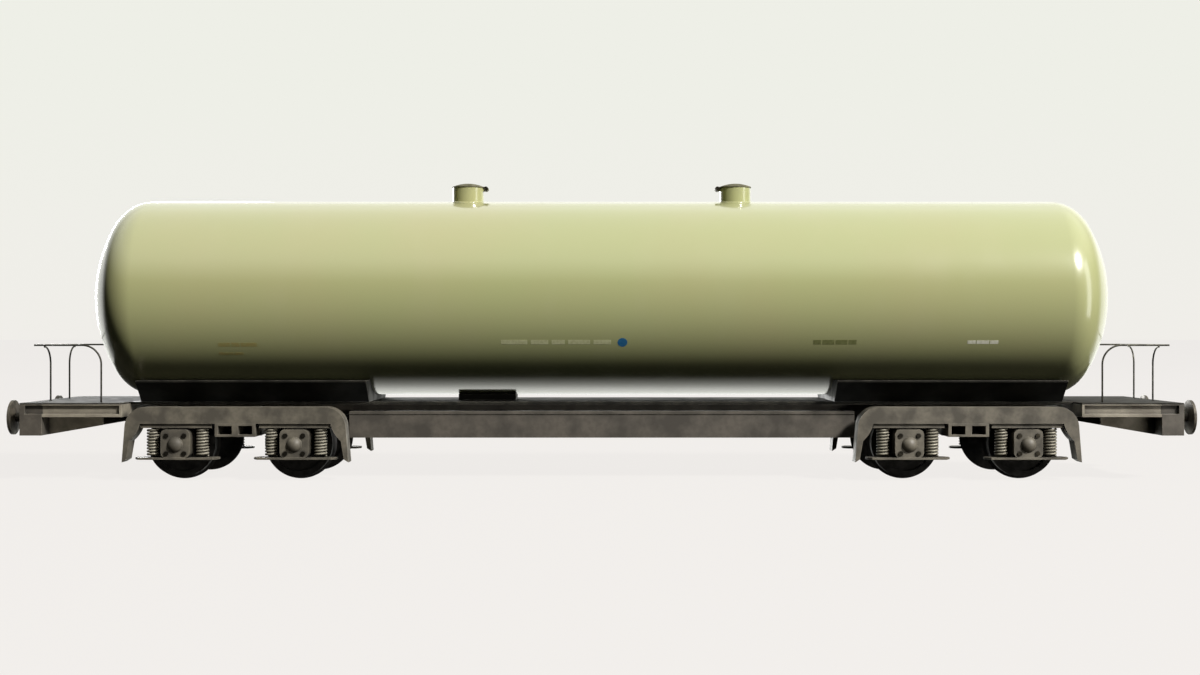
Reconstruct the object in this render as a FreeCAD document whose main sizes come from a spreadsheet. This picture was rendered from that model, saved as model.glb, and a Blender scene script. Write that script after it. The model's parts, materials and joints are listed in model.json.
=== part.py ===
import FreeCAD, Part

import math
import os

import Sketcher

# A bogie tank wagon at 1:32 for 45 mm gauge track.
# X runs along the wagon, Y across it, and Z is up from the lowest point of the wheel flanges.
# The pieces that repeat at both ends or on both sides are drawn once and mirrored or turned.

Vector = FreeCAD.Vector
document = FreeCAD.newDocument("TankWagon")
sheet = document.addObject("Spreadsheet::Sheet", "Sizes")
nodes = []


# ---------------------------------------------------------------- sizes and their formulas

class Size:
    """A length that knows its number and the sheet formula that it comes from."""

    def __init__(self, number, formula):
        self.number = number
        self.formula = formula

    def __add__(self, other):
        other = as_size(other)
        return Size(self.number + other.number, f"({self.formula} + {other.formula})")

    def __sub__(self, other):
        other = as_size(other)
        return Size(self.number - other.number, f"({self.formula} - {other.formula})")

    def __mul__(self, other):
        other = as_size(other)
        return Size(self.number * other.number, f"({self.formula} * {other.formula})")

    def __truediv__(self, other):
        other = as_size(other)
        return Size(self.number / other.number, f"({self.formula} / {other.formula})")

    def __neg__(self):
        return Size(-self.number, f"(-1 * {self.formula})")


def as_size(value):
    if isinstance(value, Size):
        return value
    return Size(float(value), f"({float(value)})")


def root(size):
    return Size(math.sqrt(size.number), f"sqrt({size.formula})")


def driving(alias, number, meaning):
    """Write one driving dimension into the sheet and give it back as a Size."""
    row = driving.next_row
    driving.next_row = row + 1
    sheet.set(f"A{row}", meaning)
    sheet.set(f"B{row}", str(number))
    sheet.setAlias(f"B{row}", alias)
    return Size(float(number), f"Sizes.{alias}")


driving.next_row = 1

# Tank: a rolled barrel with dished ends, each end a crown joined to the barrel by a knuckle.
tank_radius = driving("tank_radius", 39.2, "outer radius of the barrel")
barrel_half = driving("barrel_half", 182.0, "half length of the straight barrel")
crown_radius = driving("crown_radius", 59.0, "outer radius of the dished crown")
knuckle_radius = driving("knuckle_radius", 15.0, "outer radius of the knuckle")
tank_wall = driving("tank_wall", 1.0, "sheet thickness of the tank")

# Manways: two necks with hinged domed lids on top of the tank.
hatch_offset = driving("hatch_offset", 54.5, "middle of the wagon to the axis of a neck")
neck_radius = driving("neck_radius", 6.25, "outer radius of a neck")
neck_rise = driving("neck_rise", 5.75, "neck top above the top of the barrel")
neck_wall = driving("neck_wall", 0.9, "wall of a neck")
neck_depth = driving("neck_depth", 5.3, "depth of the well inside a neck")
neck_floor = driving("neck_floor", 2.0, "thickness of the well's floor")
fit_gap = driving("fit_gap", 0.02, "gap at each glued or pressed fit")
lid_overhang = driving("lid_overhang", 0.25, "lid beyond the neck all round")
lid_rim = driving("lid_rim", 0.4, "thickness of the lid's rim")
lid_rise = driving("lid_rise", 1.35, "crown of the lid above its rim")
lid_gap = driving("lid_gap", 0.05, "gap between the neck and the closed lid")
eye_radius = driving("eye_radius", 0.95, "outer radius of the hinge eyes")
eye_half_width = driving("eye_half_width", 1.2, "half width of the lid's hinge eye")
eye_gap = driving("eye_gap", 0.1, "gap between the lid's eye and what is beside it")
ear_thickness = driving("ear_thickness", 0.7, "thickness of the neck's hinge ears")
hinge_drop = driving("hinge_drop", 0.4, "hinge axis below the top of the neck")
hinge_pin = driving("hinge_pin", 0.4, "radius of the hinge pin")
hinge_play = driving("hinge_play", 0.05, "radial play of the lid on its pin")

# Underframe: a top plate, two centre sills, two bolsters and two outer sole bars.
frame_top = driving("frame_top", 30.4, "height of the top of the underframe and the decks")
tank_gap = driving("tank_gap", 2.15, "top of the underframe to the bottom of the barrel")
frame_plate = driving("frame_plate", 1.0, "thickness of the top plate")
frame_half_width = driving("frame_half_width", 25.0, "half width of the top plate")
frame_half = driving("frame_half", 185.5, "half length of the underframe")
sill_inside = driving("sill_inside", 13.0, "middle to the inside of a centre sill")
sill_thickness = driving("sill_thickness", 1.0, "thickness of a centre sill")
sill_bottom = driving("sill_bottom", 24.9, "height of the bottom of the centre sills")
sill_taper = driving("sill_taper", 39.5, "length of the tapered end of a centre sill")
sill_tip = driving("sill_tip", 0.3, "depth of a centre sill at its tip")
bar_clear = driving("bar_clear", 42.2, "end of a sole bar to the bogie pivot beyond it")
bar_top = driving("bar_top", 26.6, "height of the top of a sole bar")
bar_flange = driving("bar_flange", 1.2, "thickness of a sole bar's upper flange")
bar_outside = driving("bar_outside", 23.0, "middle to the outer edge of the upper flange")
bar_recess = driving("bar_recess", 0.4, "web of a sole bar behind its flange's edge")
bar_web = driving("bar_web", 0.8, "thickness of a sole bar's web")
bar_bottom = driving("bar_bottom", 16.1, "height of the bottom of a sole bar")
bar_foot = driving("bar_foot", 3.5, "width of a sole bar's lower flange")

# Saddles: troughs that carry the ends of the barrel.
saddle_inner = driving("saddle_inner", 91.6, "middle of the wagon to the inner end of a saddle")
saddle_outer = driving("saddle_outer", 181.3, "middle of the wagon to the outer end of a saddle")
saddle_foot = driving("saddle_foot", 25.0, "half width of a saddle at its foot")
saddle_spread = driving("saddle_spread", 8.75, "lean of a saddle's side")
saddle_height = driving("saddle_height", 7.9, "height of a saddle's leaning side")
saddle_rim = driving("saddle_rim", 0.7, "height of the rim on top of a saddle's side")
saddle_wall = driving("saddle_wall", 1.5, "wall of a saddle")
saddle_core = driving("saddle_core", 8.0, "middle to the inside of a saddle's hollow")

# Outlet box between the tank and the underframe.
outlet_start = driving("outlet_start", -57.8, "left end of the outlet box")
outlet_length = driving("outlet_length", 23.1, "length of the outlet box")
outlet_half_width = driving("outlet_half_width", 8.0, "half width of the outlet box")
outlet_reach = driving("outlet_reach", 2.6, "outlet box above the underframe before it is cradled")

# End platforms: channel frames with a deck, a buffer beam, gussets and rails.
beam_inner = driving("beam_inner", 216.4, "middle of the wagon to the back of a buffer beam")
beam_depth = driving("beam_depth", 8.6, "thickness of a buffer beam along the wagon")
beam_bottom = driving("beam_bottom", 17.8, "height of the bottom of a buffer beam")
platform_half_width = driving("platform_half_width", 37.5, "half width of a platform")
platform_bottom = driving("platform_bottom", 24.9, "height of the bottom of a platform")
deck_thickness = driving("deck_thickness", 0.6, "thickness of a deck")
channel_upper = driving("channel_upper", 0.4, "upper flange of a side channel")
channel_lower = driving("channel_lower", 1.2, "lower flange of a side channel")
channel_depth = driving("channel_depth", 2.2, "depth of a side channel")
channel_web = driving("channel_web", 0.8, "web of a side channel")
groove_end = driving("groove_end", 2.0, "end of the channel's groove before the beam's face")
cross_plate = driving("cross_plate", 1.0, "thickness of the plate at a platform's inner end")
gusset_middle = driving("gusset_middle", 27.8, "middle of the wagon to the middle of a gusset")
gusset_thickness = driving("gusset_thickness", 1.0, "thickness of a gusset")
gusset_length = driving("gusset_length", 20.9, "length of a gusset")
gusset_tip = driving("gusset_tip", 21.4, "height of a gusset's lower edge at its tip")

# Handrails of round wire.
wire_radius = driving("wire_radius", 0.35, "radius of the handrail wire")
rail_height = driving("rail_height", 52.7, "height of the middle of the top rails")
rail_side = driving("rail_side", 30.3, "middle of the wagon to a side rail")
rail_end = driving("rail_end", 221.3, "middle of the wagon to an end rail")
side_post = driving("side_post", 195.5, "middle of the wagon to a side post")
end_post = driving("end_post", 11.9, "middle of the wagon to an end post")
side_bend = driving("side_bend", 7.5, "bend radius at the top of a side post")
end_bend = driving("end_bend", 7.0, "bend radius at the top of an end post")
solder_gap = driving("solder_gap", 0.01, "gap between wires that are soldered together")

# Buffers: sprung heads that slide through bushes in the buffer beam.
buffer_side = driving("buffer_side", 27.3, "middle of the wagon to a buffer")
buffer_height = driving("buffer_height", 24.4, "height of the buffers and draw hooks")
buffer_face = driving("buffer_face", 231.2, "middle of the wagon to a buffer's face")
buffer_disc = driving("buffer_disc", 6.75, "radius of a buffer head")
disc_thickness = driving("disc_thickness", 1.0, "thickness of a buffer head at its rim")
disc_boss = driving("disc_boss", 0.7, "thickening behind the middle of a buffer head")
shank_radius = driving("shank_radius", 1.85, "radius of a buffer shank")
shank_play = driving("shank_play", 0.08, "radial play of a shank in its bush")
bush_radius = driving("bush_radius", 2.8, "radius of the bore for a bush")
bush_length = driving("bush_length", 1.7, "length of a bush inside the beam")
bush_flange = driving("bush_flange", 0.5, "thickness of a bush's flange")
bush_flange_radius = driving("bush_flange_radius", 3.5, "radius of a bush's flange")
collar_play = driving("collar_play", 0.1, "gap round and before the shank's collar")
collar_length = driving("collar_length", 1.0, "length of the shank's collar")
bore_depth = driving("bore_depth", 7.4, "depth of a buffer bore from the beam's face")
buffer_wire = driving("buffer_wire", 0.2, "wire radius of a buffer spring")
buffer_coil = driving("buffer_coil", 1.6, "mean radius of a buffer spring")
buffer_turns = driving("buffer_turns", 4.0, "turns of a buffer spring")

# Draw hooks.
hook_plate_half = driving("hook_plate_half", 4.0, "half width of a draw hook's plate")
hook_plate_thick = driving("hook_plate_thick", 0.8, "thickness of a draw hook's plate")
hook_reach = driving("hook_reach", 5.2, "draw hook beyond its plate")
hook_thickness = driving("hook_thickness", 1.6, "thickness of a draw hook")
hook_throat = driving("hook_throat", 1.3, "radius of a draw hook's throat")
hook_body = driving("hook_body", 2.9, "outer radius of a draw hook's bowl")

# Bogies.
bogie_offset = driving("bogie_offset", 142.0, "middle of the wagon to a bogie's pivot")
axle_offset = driving("axle_offset", 23.0, "bogie pivot to an axle")
flange_radius = driving("flange_radius", 14.25, "radius of a wheel's flange")
tread_radius = driving("tread_radius", 13.2, "radius of a wheel's tread")
wheel_inside = driving("wheel_inside", 21.0, "middle of the track to a wheel's back")
flange_width = driving("flange_width", 1.1, "thickness of a wheel's flange")
wheel_width = driving("wheel_width", 5.7, "width of a wheel")
rim_thickness = driving("rim_thickness", 2.2, "rim under the tread")
wheel_dish = driving("wheel_dish", 1.4, "recess between a wheel's hub and rim, outside")
back_dish = driving("back_dish", 1.6, "recess between a wheel's hub and rim, inside")
hub_radius = driving("hub_radius", 3.6, "radius of a wheel's hub")
hub_stand = driving("hub_stand", 0.4, "hub beyond the wheel's outer face")
axle_radius = driving("axle_radius", 1.8, "radius of an axle")
journal_radius = driving("journal_radius", 1.4, "radius of an axle's journals")
journal_end = driving("journal_end", 34.0, "middle of the track to the end of a journal")
journal_play = driving("journal_play", 0.06, "radial play of a journal in its box")

frame_inside = driving("frame_inside", 28.4, "middle of the track to the back of a side frame")
frame_outside = driving("frame_outside", 36.2, "middle of the track to a side frame's face")
side_top = driving("side_top", 28.8, "height of the top of a side frame")
side_under = driving("side_under", 22.3, "height of the underside of a side frame's beam")
side_corner = driving("side_corner", 42.2, "pivot to the corner of a side frame")
side_round = driving("side_round", 8.0, "outer radius of a side frame's corner")
foot_outside = driving("foot_outside", 43.9, "pivot to the outside of a foot")
foot_bottom = driving("foot_bottom", 7.3, "height of a foot's tip")
foot_inside = driving("foot_inside", 42.1, "pivot to the inside of a foot")
foot_rise = driving("foot_rise", 1.2, "slope of a foot's end")
leg_start = driving("leg_start", 36.9, "pivot to the leg under the beam")
leg_waist = driving("leg_waist", 40.9, "pivot to the inside of a leg at its waist")
waist_height = driving("waist_height", 15.6, "height of a leg's waist")
leg_round = driving("leg_round", 13.0, "radius of the inside of a leg")
side_hollow = driving("side_hollow", 6.2, "depth of the hollow in a side frame's back")
hollow_half = driving("hollow_half", 33.0, "half length of that hollow")
hollow_edge = driving("hollow_edge", 1.3, "edge above and below that hollow")
seat_half = driving("seat_half", 13.8, "half length of a spring seat")
seat_bottom = driving("seat_bottom", 20.6, "height of the underside of a spring seat")
seat_inset = driving("seat_inset", 0.9, "spring seat behind the side frame's face")

box_half = driving("box_half", 5.55, "half width of an axle box")
box_top = driving("box_top", 20.1, "height of the top of an axle box")
box_round = driving("box_round", 1.9, "corner radius of an axle box")
box_outside = driving("box_outside", 37.0, "middle of the track to an axle box's face")
box_inside = driving("box_inside", 28.6, "middle of the track to an axle box's back")
cap_radius = driving("cap_radius", 3.0, "radius of the domed cap on an axle box")
cap_rise = driving("cap_rise", 1.7, "height of that cap")
bolt_radius = driving("bolt_radius", 0.9, "radius of a cover bolt's head")
bolt_rise = driving("bolt_rise", 0.5, "height of a cover bolt's head")
bolt_offset = driving("bolt_offset", 3.45, "axle box's middle to its bolts, each way")
bolt_shank = driving("bolt_shank", 0.45, "radius of a cover bolt's shank")
bolt_length = driving("bolt_length", 2.0, "length of a cover bolt's shank")
plank_bottom = driving("plank_bottom", 8.4, "height of the bottom of a spring plank")
plank_thickness = driving("plank_thickness", 0.8, "thickness of a spring plank")
plank_half = driving("plank_half", 16.2, "half length of a spring plank")
plank_shoulder = driving("plank_shoulder", 14.4, "half length of a spring plank's full width")
plank_tip = driving("plank_tip", 1.2, "half width of a spring plank's tip")
spring_offset = driving("spring_offset", 9.6, "axle to the middle of a spring")
spring_side = driving("spring_side", 32.4, "middle of the track to the middle of a spring")
spring_wire = driving("spring_wire", 0.45, "wire radius of a spring")
spring_coil = driving("spring_coil", 2.05, "mean radius of a spring")
spring_turns = driving("spring_turns", 9.0, "turns of a spring")
spring_clear = driving("spring_clear", 0.03, "gap at each end of a spring")

tube_half = driving("tube_half", 7.9, "half length of the transom along the wagon")
tube_bottom = driving("tube_bottom", 17.2, "height of the bottom of the transom")
tube_side_wall = driving("tube_side_wall", 1.3, "side walls of the transom's tubes")
tube_flat_wall = driving("tube_flat_wall", 0.9, "upper and lower walls of the transom's tubes")
boss_radius = driving("boss_radius", 5.0, "radius of the pivot boss")
pivot_gap = driving("pivot_gap", 0.1, "gap between a boss and its bolster")
pivot_radius = driving("pivot_radius", 2.0, "radius of a pivot pin")
pivot_play = driving("pivot_play", 0.06, "radial play of a pivot pin in its boss")
pivot_head = driving("pivot_head", 3.2, "radius of a pivot pin's head")
pivot_head_height = driving("pivot_head_height", 1.2, "height of a pivot pin's head")
pivot_slack = driving("pivot_slack", 0.3, "gap between a boss and the pin's head")
bolster_half = driving("bolster_half", 9.0, "half length of a bolster along the wagon")

document.recompute()


# ---------------------------------------------------------------- drawing and feature helpers

def bind(thing, path, size):
    thing.setExpression(path, as_size(size).formula)


def new_body(label, whole=True):
    """A body. A whole one is a node by itself, and the others are copied into a group."""
    body = document.addObject("PartDesign::Body", label)
    body.Label = label
    if whole:
        nodes.append(body)
    return body


def datum(body, role):
    return next(item for item in body.Origin.OriginFeatures if item.Role == role)


def new_sketch(body, name, role, offset=None):
    """A sketch on one of the body's own planes, moved out along that plane's normal."""
    drawing = body.newObject("Sketcher::SketchObject", name)
    drawing.AttachmentSupport = [(datum(body, role), "")]
    drawing.MapMode = "FlatFace"
    if offset is not None:
        bind(drawing, "AttachmentOffset.Base.z", offset)
    return drawing


def fix_point(drawing, edge, end, across, up):
    """Hold one end of an edge at its place from the sketch's origin."""
    for kind, axis, value in (("DistanceX", -2, as_size(across)), ("DistanceY", -1, as_size(up))):
        if value.number == 0.0:
            drawing.addConstraint(Sketcher.Constraint("PointOnObject", edge, end, axis))
        else:
            index = drawing.addConstraint(Sketcher.Constraint(kind, edge, end, value.number))
            bind(drawing, f"Constraints[{index}]", value)


def arc_between(start, finish, radius):
    """The shorter arc from start to finish; a radius above zero has its middle on the left."""
    chord = finish - start
    middle = (start + finish) * 0.5
    left = Vector(-chord.y, chord.x, 0).normalize()
    reach = math.sqrt(max(radius * radius - chord.Length * chord.Length / 4, 0.0))
    centre = middle + left * math.copysign(reach, radius)
    circle = Part.Circle(centre, Vector(0, 0, 1), abs(radius))
    ends = (start, finish) if radius > 0 else (finish, start)
    angles = [math.atan2(point.y - centre.y, point.x - centre.x) for point in ends]
    return Part.ArcOfCircle(circle, angles[0], angles[1])


def draw_outline(drawing, corners):
    """A closed outline. A corner is across, up and, where an arc leaves it, that arc's radius."""
    points = [Vector(as_size(item[0]).number, as_size(item[1]).number, 0) for item in corners]
    arcs = [as_size(item[2]) if len(item) == 3 else None for item in corners]
    count = len(corners)
    edges = []
    for index, arc in enumerate(arcs):
        start, finish = points[index], points[(index + 1) % count]
        if arc is None:
            edges.append((drawing.addGeometry(Part.LineSegment(start, finish), False), 1, 2))
        elif arc.number > 0:
            edges.append((drawing.addGeometry(arc_between(start, finish, arc.number), False), 1, 2))
        else:
            edges.append((drawing.addGeometry(arc_between(start, finish, arc.number), False), 2, 1))
    for index, (edge, first, last) in enumerate(edges):
        after = edges[(index + 1) % count]
        drawing.addConstraint(Sketcher.Constraint("Coincident", edge, last, after[0], after[1]))
        fix_point(drawing, edge, first, corners[index][0], corners[index][1])
        if arcs[index] is not None:
            radius = arcs[index] if arcs[index].number > 0 else -arcs[index]
            held = drawing.addConstraint(Sketcher.Constraint("Radius", edge, radius.number))
            bind(drawing, f"Constraints[{held}]", radius)


def draw_rectangle(drawing, left, bottom, right, top):
    draw_outline(drawing, [(left, bottom), (right, bottom), (right, top), (left, top)])


def draw_circle(drawing, across, up, radius):
    centre = Vector(as_size(across).number, as_size(up).number, 0)
    ring = Part.Circle(centre, Vector(0, 0, 1), as_size(radius).number)
    edge = drawing.addGeometry(ring, False)
    fix_point(drawing, edge, 3, across, up)
    held = drawing.addConstraint(Sketcher.Constraint("Radius", edge, as_size(radius).number))
    bind(drawing, f"Constraints[{held}]", radius)


def add_length(body, kind, name, drawing, length, reverse=False, symmetric=False):
    """A Pad or Pocket of this length; reverse turns it to the other side of the sketch."""
    feature = body.newObject(kind, name)
    feature.Profile = drawing
    feature.Length = as_size(length).number
    bind(feature, "Length", length)
    feature.Reversed = reverse
    if symmetric:
        feature.SideType = "Symmetric"
    return feature


def add_pad(body, name, drawing, length, reverse=False, symmetric=False):
    return add_length(body, "PartDesign::Pad", name, drawing, length, reverse, symmetric)


def add_pocket(body, name, drawing, length, reverse=False, symmetric=False):
    return add_length(body, "PartDesign::Pocket", name, drawing, length, reverse, symmetric)


def add_turning(body, name, drawing, axis):
    feature = body.newObject("PartDesign::Revolution", name)
    feature.Profile = drawing
    feature.ReferenceAxis = (drawing, [axis])
    feature.Angle = 360.0
    return feature


def add_mirror(body, name, features, role):
    feature = body.newObject("PartDesign::Mirrored", name)
    feature.Originals = features
    feature.MirrorPlane = (datum(body, role), [""])
    body.Tip = feature
    return feature


def add_fillet(body, name, base, radius, wanted):
    """Round the edges of the base feature whose middle points are wanted."""
    document.recompute()
    chosen = []
    for index, edge in enumerate(base.Shape.Edges):
        middle = edge.valueAt((edge.FirstParameter + edge.LastParameter) / 2)
        if wanted(edge, middle):
            chosen.append(f"Edge{index + 1}")
    feature = body.newObject("PartDesign::Fillet", name)
    feature.Base = (base, chosen)
    feature.Radius = as_size(radius).number
    bind(feature, "Radius", radius)
    return feature


def place(thing, across=0.0, up=0.0, side=0.0, turned=False):
    """Set a piece in its place; the pieces of the left end are turned half round."""
    angle = 180.0 if turned else 0.0
    spot = Vector(as_size(across).number, as_size(side).number, as_size(up).number)
    thing.Placement = FreeCAD.Placement(spot, FreeCAD.Rotation(Vector(0, 0, 1), angle))
    for axis, value in (("x", across), ("y", side), ("z", up)):
        if isinstance(value, Size):
            bind(thing, f"Placement.Base.{axis}", value)


def reflected(piece, name, normal):
    mirror = document.addObject("Part::Mirroring", name)
    mirror.Source = piece
    mirror.Normal = normal
    return mirror


def group(label, piece, sides=False, ends=False):
    """One node of separate solids: the piece and its copies across the wagon, along it or both."""
    pieces = [piece]
    if sides:
        pieces.append(reflected(piece, f"{label}_far", Vector(0, 1, 0)))
    if ends:
        pieces += [reflected(item, f"{item.Name}_{label}_end", Vector(1, 0, 0)) for item in pieces]
    node = document.addObject("Part::Compound", label)
    node.Label = label
    node.Links = pieces
    nodes.append(node)
    return node


ENDS = (("right", 1), ("left", -1))


# ---------------------------------------------------------------- tank

tank_axis = frame_top + tank_gap + tank_radius
neck_top = tank_axis + tank_radius + neck_rise
neck_inside = neck_radius - neck_wall
spigot_radius = neck_radius - neck_wall / 2
hinge_reach = neck_radius + eye_gap + eye_radius
hinge_height = neck_top - hinge_drop
hinge_along = hatch_offset - hinge_reach
ear_reach = eye_half_width + eye_gap + ear_thickness
lid_bottom = neck_top + lid_gap
lid_edge = neck_radius + lid_overhang


def tank_profile():
    """Half section of the shell: the outer skin from right to left, then the inner skin back."""
    across_knuckle = tank_radius - knuckle_radius
    to_knuckle = crown_radius - knuckle_radius
    along = root(to_knuckle * to_knuckle - across_knuckle * across_knuckle)
    crown_centre = barrel_half - along
    corners = []
    for sign, inset in ((1, as_size(0)), (-1, tank_wall)):
        crown = crown_radius - inset
        knuckle = knuckle_radius - inset
        tip = (crown_centre + crown) * sign
        join_along = (crown_centre + along * crown / to_knuckle) * sign
        join_up = across_knuckle * crown / to_knuckle
        top = tank_radius - inset
        corners += [
            (tip, 0.0, crown * sign),
            (join_along, join_up, knuckle * sign),
            (barrel_half * sign, top),
            (-(barrel_half * sign), top, knuckle * sign),
            (-join_along, join_up, crown * sign),
            (-tip, 0.0),
        ]
    return corners


def make_tank_shell():
    body = new_body("tank_shell")
    section = new_sketch(body, "shell_section", "XZ_Plane")
    draw_outline(section, tank_profile())
    add_turning(body, "shell", section, "H_Axis")
    holes = new_sketch(body, "neck_holes_drawing", "XY_Plane")
    for sign in (1, -1):
        draw_circle(holes, hatch_offset * sign, 0.0, spigot_radius + fit_gap)
    add_pocket(body, "neck_holes", holes, tank_radius * 2, reverse=True)
    place(body, up=tank_axis)


def make_manway_necks():
    """Each neck is a cup that stands on the barrel, with a spigot through the barrel's wall."""
    body = new_body("manway_neck", whole=False)
    wall = new_sketch(body, "neck_drawing", "XY_Plane", tank_axis)
    draw_circle(wall, hatch_offset, 0.0, neck_radius)
    add_pad(body, "neck", wall, neck_top - tank_axis)
    ears = new_sketch(body, "ear_drawing", "XZ_Plane")
    draw_outline(ears, [
        (hinge_along, hinge_height + eye_radius, eye_radius),
        (hinge_along - eye_radius, hinge_height, eye_radius),
        (hinge_along, hinge_height - eye_radius),
        (hatch_offset - neck_inside, hinge_height - eye_radius),
        (hatch_offset - neck_inside, hinge_height),
        (hinge_along + eye_radius, hinge_height, eye_radius),
    ])
    add_pad(body, "ears", ears, ear_reach * 2, symmetric=True)
    slot = new_sketch(body, "eye_slot_drawing", "XY_Plane", hinge_height - eye_radius * 2)
    draw_rectangle(slot, hinge_along - eye_radius * 2, -(eye_half_width + eye_gap),
                   hatch_offset - neck_radius, eye_half_width + eye_gap)
    add_pocket(body, "eye_slot", slot, eye_radius * 4, reverse=True)
    pin_hole = new_sketch(body, "pin_hole_drawing", "XZ_Plane")
    draw_circle(pin_hole, hinge_along, hinge_height, hinge_pin + fit_gap)
    add_pocket(body, "pin_hole", pin_hole, ear_reach * 3, symmetric=True)
    barrel = new_sketch(body, "barrel_drawing", "YZ_Plane", hatch_offset)
    draw_circle(barrel, 0.0, tank_axis, tank_radius + fit_gap)
    add_pocket(body, "barrel_seat", barrel, neck_radius * 4, symmetric=True)
    spigot = new_sketch(body, "spigot_drawing", "XY_Plane", neck_top - neck_depth - neck_floor)
    draw_circle(spigot, hatch_offset, 0.0, spigot_radius)
    add_pad(body, "spigot", spigot, neck_depth + neck_floor - neck_rise / 2)
    well = new_sketch(body, "well_drawing", "XY_Plane", neck_top - neck_depth)
    draw_circle(well, hatch_offset, 0.0, neck_inside)
    add_pocket(body, "well", well, neck_depth * 2, reverse=True)
    group("manway_necks", body, ends=True)


def make_hatch_lids():
    """A domed lid with one hinge eye on the side towards the middle of the wagon."""
    dome_radius = (lid_rise * lid_rise + lid_edge * lid_edge) / (lid_rise * 2)
    axis_up = -(hinge_drop + lid_gap)
    for end, sign in ENDS:
        body = new_body(f"hatch_lid_{end}")
        section = new_sketch(body, "lid_section", "XZ_Plane")
        draw_outline(section, [
            (0.0, 0.0), (lid_edge, 0.0), (lid_edge, lid_rim, dome_radius), (0.0, lid_rim + lid_rise),
        ])
        add_turning(body, "lid", section, "V_Axis")
        arm = new_sketch(body, "eye_drawing", "XZ_Plane")
        draw_outline(arm, [
            (-(lid_edge - eye_radius), lid_rim),
            (-hinge_reach, axis_up + eye_radius, eye_radius),
            (-(hinge_reach + eye_radius), axis_up, eye_radius),
            (-hinge_reach, axis_up - eye_radius, eye_radius),
            (-(hinge_reach - eye_radius), axis_up),
            (-(hinge_reach - eye_radius), 0.0),
            (-(lid_edge - eye_radius), 0.0),
        ])
        add_pad(body, "eye", arm, eye_half_width * 2, symmetric=True)
        hole = new_sketch(body, "eye_hole_drawing", "XZ_Plane")
        draw_circle(hole, -hinge_reach, axis_up, hinge_pin + hinge_play)
        add_pocket(body, "eye_hole", hole, eye_half_width * 4, symmetric=True)
        place(body, hatch_offset * sign, lid_bottom, turned=sign < 0)


def make_lid_pins():
    body = new_body("lid_pin", whole=False)
    section = new_sketch(body, "pin_drawing", "XZ_Plane")
    draw_circle(section, hinge_along, hinge_height, hinge_pin)
    add_pad(body, "pin", section, ear_reach * 2 + hinge_pin, symmetric=True)
    group("lid_pins", body, ends=True)


def make_outlet_box():
    """A low box under the barrel, cut to the barrel's curve, left of the middle."""
    body = new_body("outlet_box")
    plan = new_sketch(body, "box_drawing", "XY_Plane", frame_top)
    draw_rectangle(plan, outlet_start, -outlet_half_width,
                   outlet_start + outlet_length, outlet_half_width)
    add_pad(body, "box", plan, outlet_reach)
    barrel = new_sketch(body, "barrel_drawing", "YZ_Plane")
    draw_circle(barrel, 0.0, tank_axis, tank_radius + fit_gap)
    add_pocket(body, "barrel_seat", barrel, barrel_half * 2, symmetric=True)


def make_saddles():
    """Two troughs with leaning sides, cut to the barrel's curve and hollow underneath."""
    body = new_body("saddle", whole=False)
    section = new_sketch(body, "saddle_section", "YZ_Plane", saddle_inner)
    top = frame_top + saddle_height
    head = saddle_foot + saddle_spread
    draw_outline(section, [
        (-saddle_foot, frame_top), (saddle_foot, frame_top), (head, top),
        (head, top + saddle_rim), (-head, top + saddle_rim), (-head, top),
    ])
    add_pad(body, "block", section, saddle_outer - saddle_inner)
    barrel = new_sketch(body, "barrel_drawing", "YZ_Plane", saddle_inner - saddle_wall)
    draw_circle(barrel, 0.0, tank_axis, tank_radius + fit_gap)
    add_pocket(body, "cradle", barrel, saddle_outer, reverse=True)
    hollow = new_sketch(body, "hollow_section", "YZ_Plane", saddle_inner + saddle_wall)
    under = top + saddle_rim - saddle_wall
    around = tank_radius + saddle_wall
    drop = tank_axis - under
    meet = root(around * around - drop * drop)
    core_up = tank_axis - root(around * around - saddle_core * saddle_core)
    foot = saddle_foot - saddle_wall
    lean = (under - frame_top) * saddle_spread / saddle_height
    draw_outline(hollow, [
        (saddle_core, frame_top), (foot, frame_top), (foot + lean, under),
        (meet, under, -around), (saddle_core, core_up),
    ])
    length = saddle_outer - saddle_inner - saddle_wall * 2
    cavity = add_pocket(body, "hollow", hollow, length, reverse=True)
    add_mirror(body, "both_hollows", [cavity], "XZ_Plane")
    group("saddles", body, ends=True)


# ---------------------------------------------------------------- underframe

plate_bottom = frame_top - frame_plate
bar_half = bogie_offset - bar_clear


def make_frame_plate():
    body = new_body("frame_plate")
    plan = new_sketch(body, "plate_drawing", "XY_Plane", plate_bottom)
    draw_rectangle(plan, -frame_half, -frame_half_width, frame_half, frame_half_width)
    add_pad(body, "plate", plan, frame_plate)


def make_centre_sills():
    """Two webs under the plate, tapered to a thin tip beyond the bogie pivots."""
    body = new_body("centre_sill", whole=False)
    side = new_sketch(body, "sill_drawing", "XZ_Plane", sill_inside)
    straight = frame_half - sill_taper
    draw_outline(side, [
        (-frame_half, plate_bottom - sill_tip), (-straight, sill_bottom),
        (straight, sill_bottom), (frame_half, plate_bottom - sill_tip),
        (frame_half, plate_bottom), (-frame_half, plate_bottom),
    ])
    add_pad(body, "sill", side, sill_thickness)
    group("centre_sills", body, sides=True)


def make_bolsters():
    """Blocks between the centre sills that hold the pivot pins."""
    body = new_body("bolster", whole=False)
    plan = new_sketch(body, "bolster_drawing", "XY_Plane", sill_bottom)
    draw_rectangle(plan, bogie_offset - bolster_half, -sill_inside,
                   bogie_offset + bolster_half, sill_inside)
    draw_circle(plan, bogie_offset, 0.0, pivot_radius + fit_gap)
    add_pad(body, "bolster", plan, plate_bottom - sill_bottom)
    group("bolsters", body, ends=True)


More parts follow.
